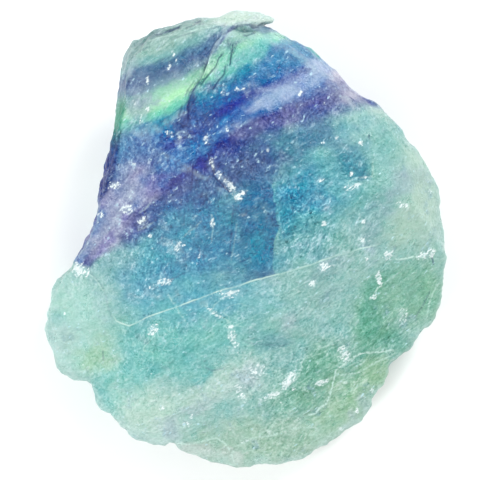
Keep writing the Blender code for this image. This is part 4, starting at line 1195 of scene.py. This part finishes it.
# the crease's thin pale line: partly wear along the edge, partly painted highlight
line_m = T.span(T.math("ABSOLUTE", T.add(T.attr("arc"), T.mul(T.add(mid, -0.5), 0.28))), 0.15, 0.03)
colour = T.mix(T.mul(T.mul(line_m, T.attr("arc_on")), T.span(mid, 0.35, 0.6, 0.35, 0.95)), colour, paint(200, 230, 222))
# painted shadow in the pocket under the flake
colour = T.mix(T.mul(T.attr("pocket_shadow"), 0.9), colour, paint(58, 106, 112))
bruise_a = T.attr("bruise")
ragged = T.add(T.mul(T.add(stroke, -0.5), 1.3), T.add(T.mul(T.add(grain, -0.5), 1.0), T.mul(T.add(chip_b, -0.5), 0.5)))
crushed = T.mul(T.span(T.add(T.add(T.mul(bruise_a, 0.98), ragged), T.mul(crumb_a, -1.0)), -0.06, 0.20), T.span(bruise_a, 0.05, 0.22))
crushed = T.mul(crushed, T.span(crumb_b, 0.0, 0.8, 0.55, 1.0, smooth=False))
colour = T.mix(T.span(bruise_a, 0.0, 0.9, 0.0, 0.52), colour, T.mix(0.6, colour, paint(214, 236, 242)))
colour = T.mix(crushed, colour, white)

T.put(bsdf.inputs["Base Color"], colour)
T.put(bsdf.inputs["Roughness"], T.span(cloud, 0.35, 0.70, 0.27, 0.50))
bsdf.inputs["IOR"].default_value = 1.434
T.put(bsdf.inputs["Specular IOR Level"], T.span(T.attr("left_wall"), 0.1, 0.9, 0.5, 0.10))
bsdf.inputs["Transmission Weight"].default_value = 0.24
bsdf.inputs["Subsurface Weight"].default_value = 0.26
bsdf.inputs["Subsurface Radius"].default_value = (1.0, 1.0, 1.0)
bsdf.inputs["Subsurface Scale"].default_value = 0.0009
bump = T.nodes.new("ShaderNodeBump")
bump.inputs["Strength"].default_value = 0.8
bump.inputs["Distance"].default_value = 0.00028
relief = T.add(T.add(T.mul(grain, 0.7), T.mul(stroke, 1.3)), T.mul(T.mul(bruise_a, grain), 0.8))
T.put(bump.inputs["Height"], relief)
T.links.new(bump.outputs["Normal"], bsdf.inputs["Normal"])
absorb = T.nodes.new("ShaderNodeVolumeAbsorption")
absorb.inputs["Color"].default_value = (*rgb(120, 200, 190), 1)
absorb.inputs["Density"].default_value = 30.0
T.links.new(absorb.outputs["Volume"], out.inputs["Volume"])
mesh.materials.append(mat)

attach(stone, "root")
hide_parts("fluorite")

# ------------------------------------------------------------------- studio
scene = bpy.context.scene
scene.view_settings.view_transform = "Standard"
scene.view_settings.look = "None"

me = bpy.data.meshes.new("floor")
s = 0.9
me.from_pydata([(-s, -s, 0), (s, -s, 0), (s, s, 0), (-s, s, 0)], [], [(0, 1, 2, 3)])
floor = bpy.data.objects.new("floor", me)
floor.location = (0, 0, -0.0001)
scene.collection.objects.link(floor)
fm = bpy.data.materials.new("floor")
fm.use_nodes = True
fm.node_tree.nodes["Principled BSDF"].inputs["Base Color"].default_value = (0.93, 0.93, 0.93, 1)
fm.node_tree.nodes["Principled BSDF"].inputs["Roughness"].default_value = 0.9
fm.node_tree.nodes["Principled BSDF"].inputs["Specular IOR Level"].default_value = 0.1
me.materials.append(fm)

# a soft studio: pale all round, dimmer straight overhead
world = bpy.data.worlds.new("studio")
world.use_nodes = True
wn, wl = world.node_tree.nodes, world.node_tree.links
geo = wn.new("ShaderNodeTexCoord")
sep = wn.new("ShaderNodeSeparateXYZ")
wl.new(geo.outputs["Generated"], sep.inputs[0])
fall = wn.new("ShaderNodeMapRange")
fall.interpolation_type = "SMOOTHSTEP"
wl.new(sep.outputs["Z"], fall.inputs["Value"])
for k, x in (("From Min", 0.50), ("From Max", 0.92), ("To Min", 1.15), ("To Max", 0.30)):
    fall.inputs[k].default_value = x
wn["Background"].inputs["Color"].default_value = (1, 1, 1, 1)
wl.new(fall.outputs["Result"], wn["Background"].inputs["Strength"])
scene.world = world


def soft_light(name, place, size, power):
    light = bpy.data.lights.new(name, "AREA")
    light.shape, light.size, light.energy = "SQUARE", size, power
    o = bpy.data.objects.new(name, light)
    o.location = place
    o.rotation_euler = (Vector((0, 0, 0.01)) - Vector(place)).to_track_quat("-Z", "Y").to_euler()
    scene.collection.objects.link(o)


soft_light("key", (0.28, 0.36, 0.42), 0.24, 2.8)
soft_light("fill", (-0.36, -0.22, 0.50), 0.28, 2.5)

cam = bpy.data.cameras.new("camera")
cam.sensor_width = 36.0
cam.lens = 300.0
camera = bpy.data.objects.new("camera", cam)
reach = 480 * 0.13 * MM * cam.lens / cam.sensor_width     # frame is 62.4 mm wide at the rim
camera.location = ((-2.5 * 0.13 + SHIFT[0]) * MM, (1.0 * 0.13 + SHIFT[1]) * MM, reach + 0.009)
scene.collection.objects.link(camera)
scene.camera = camera
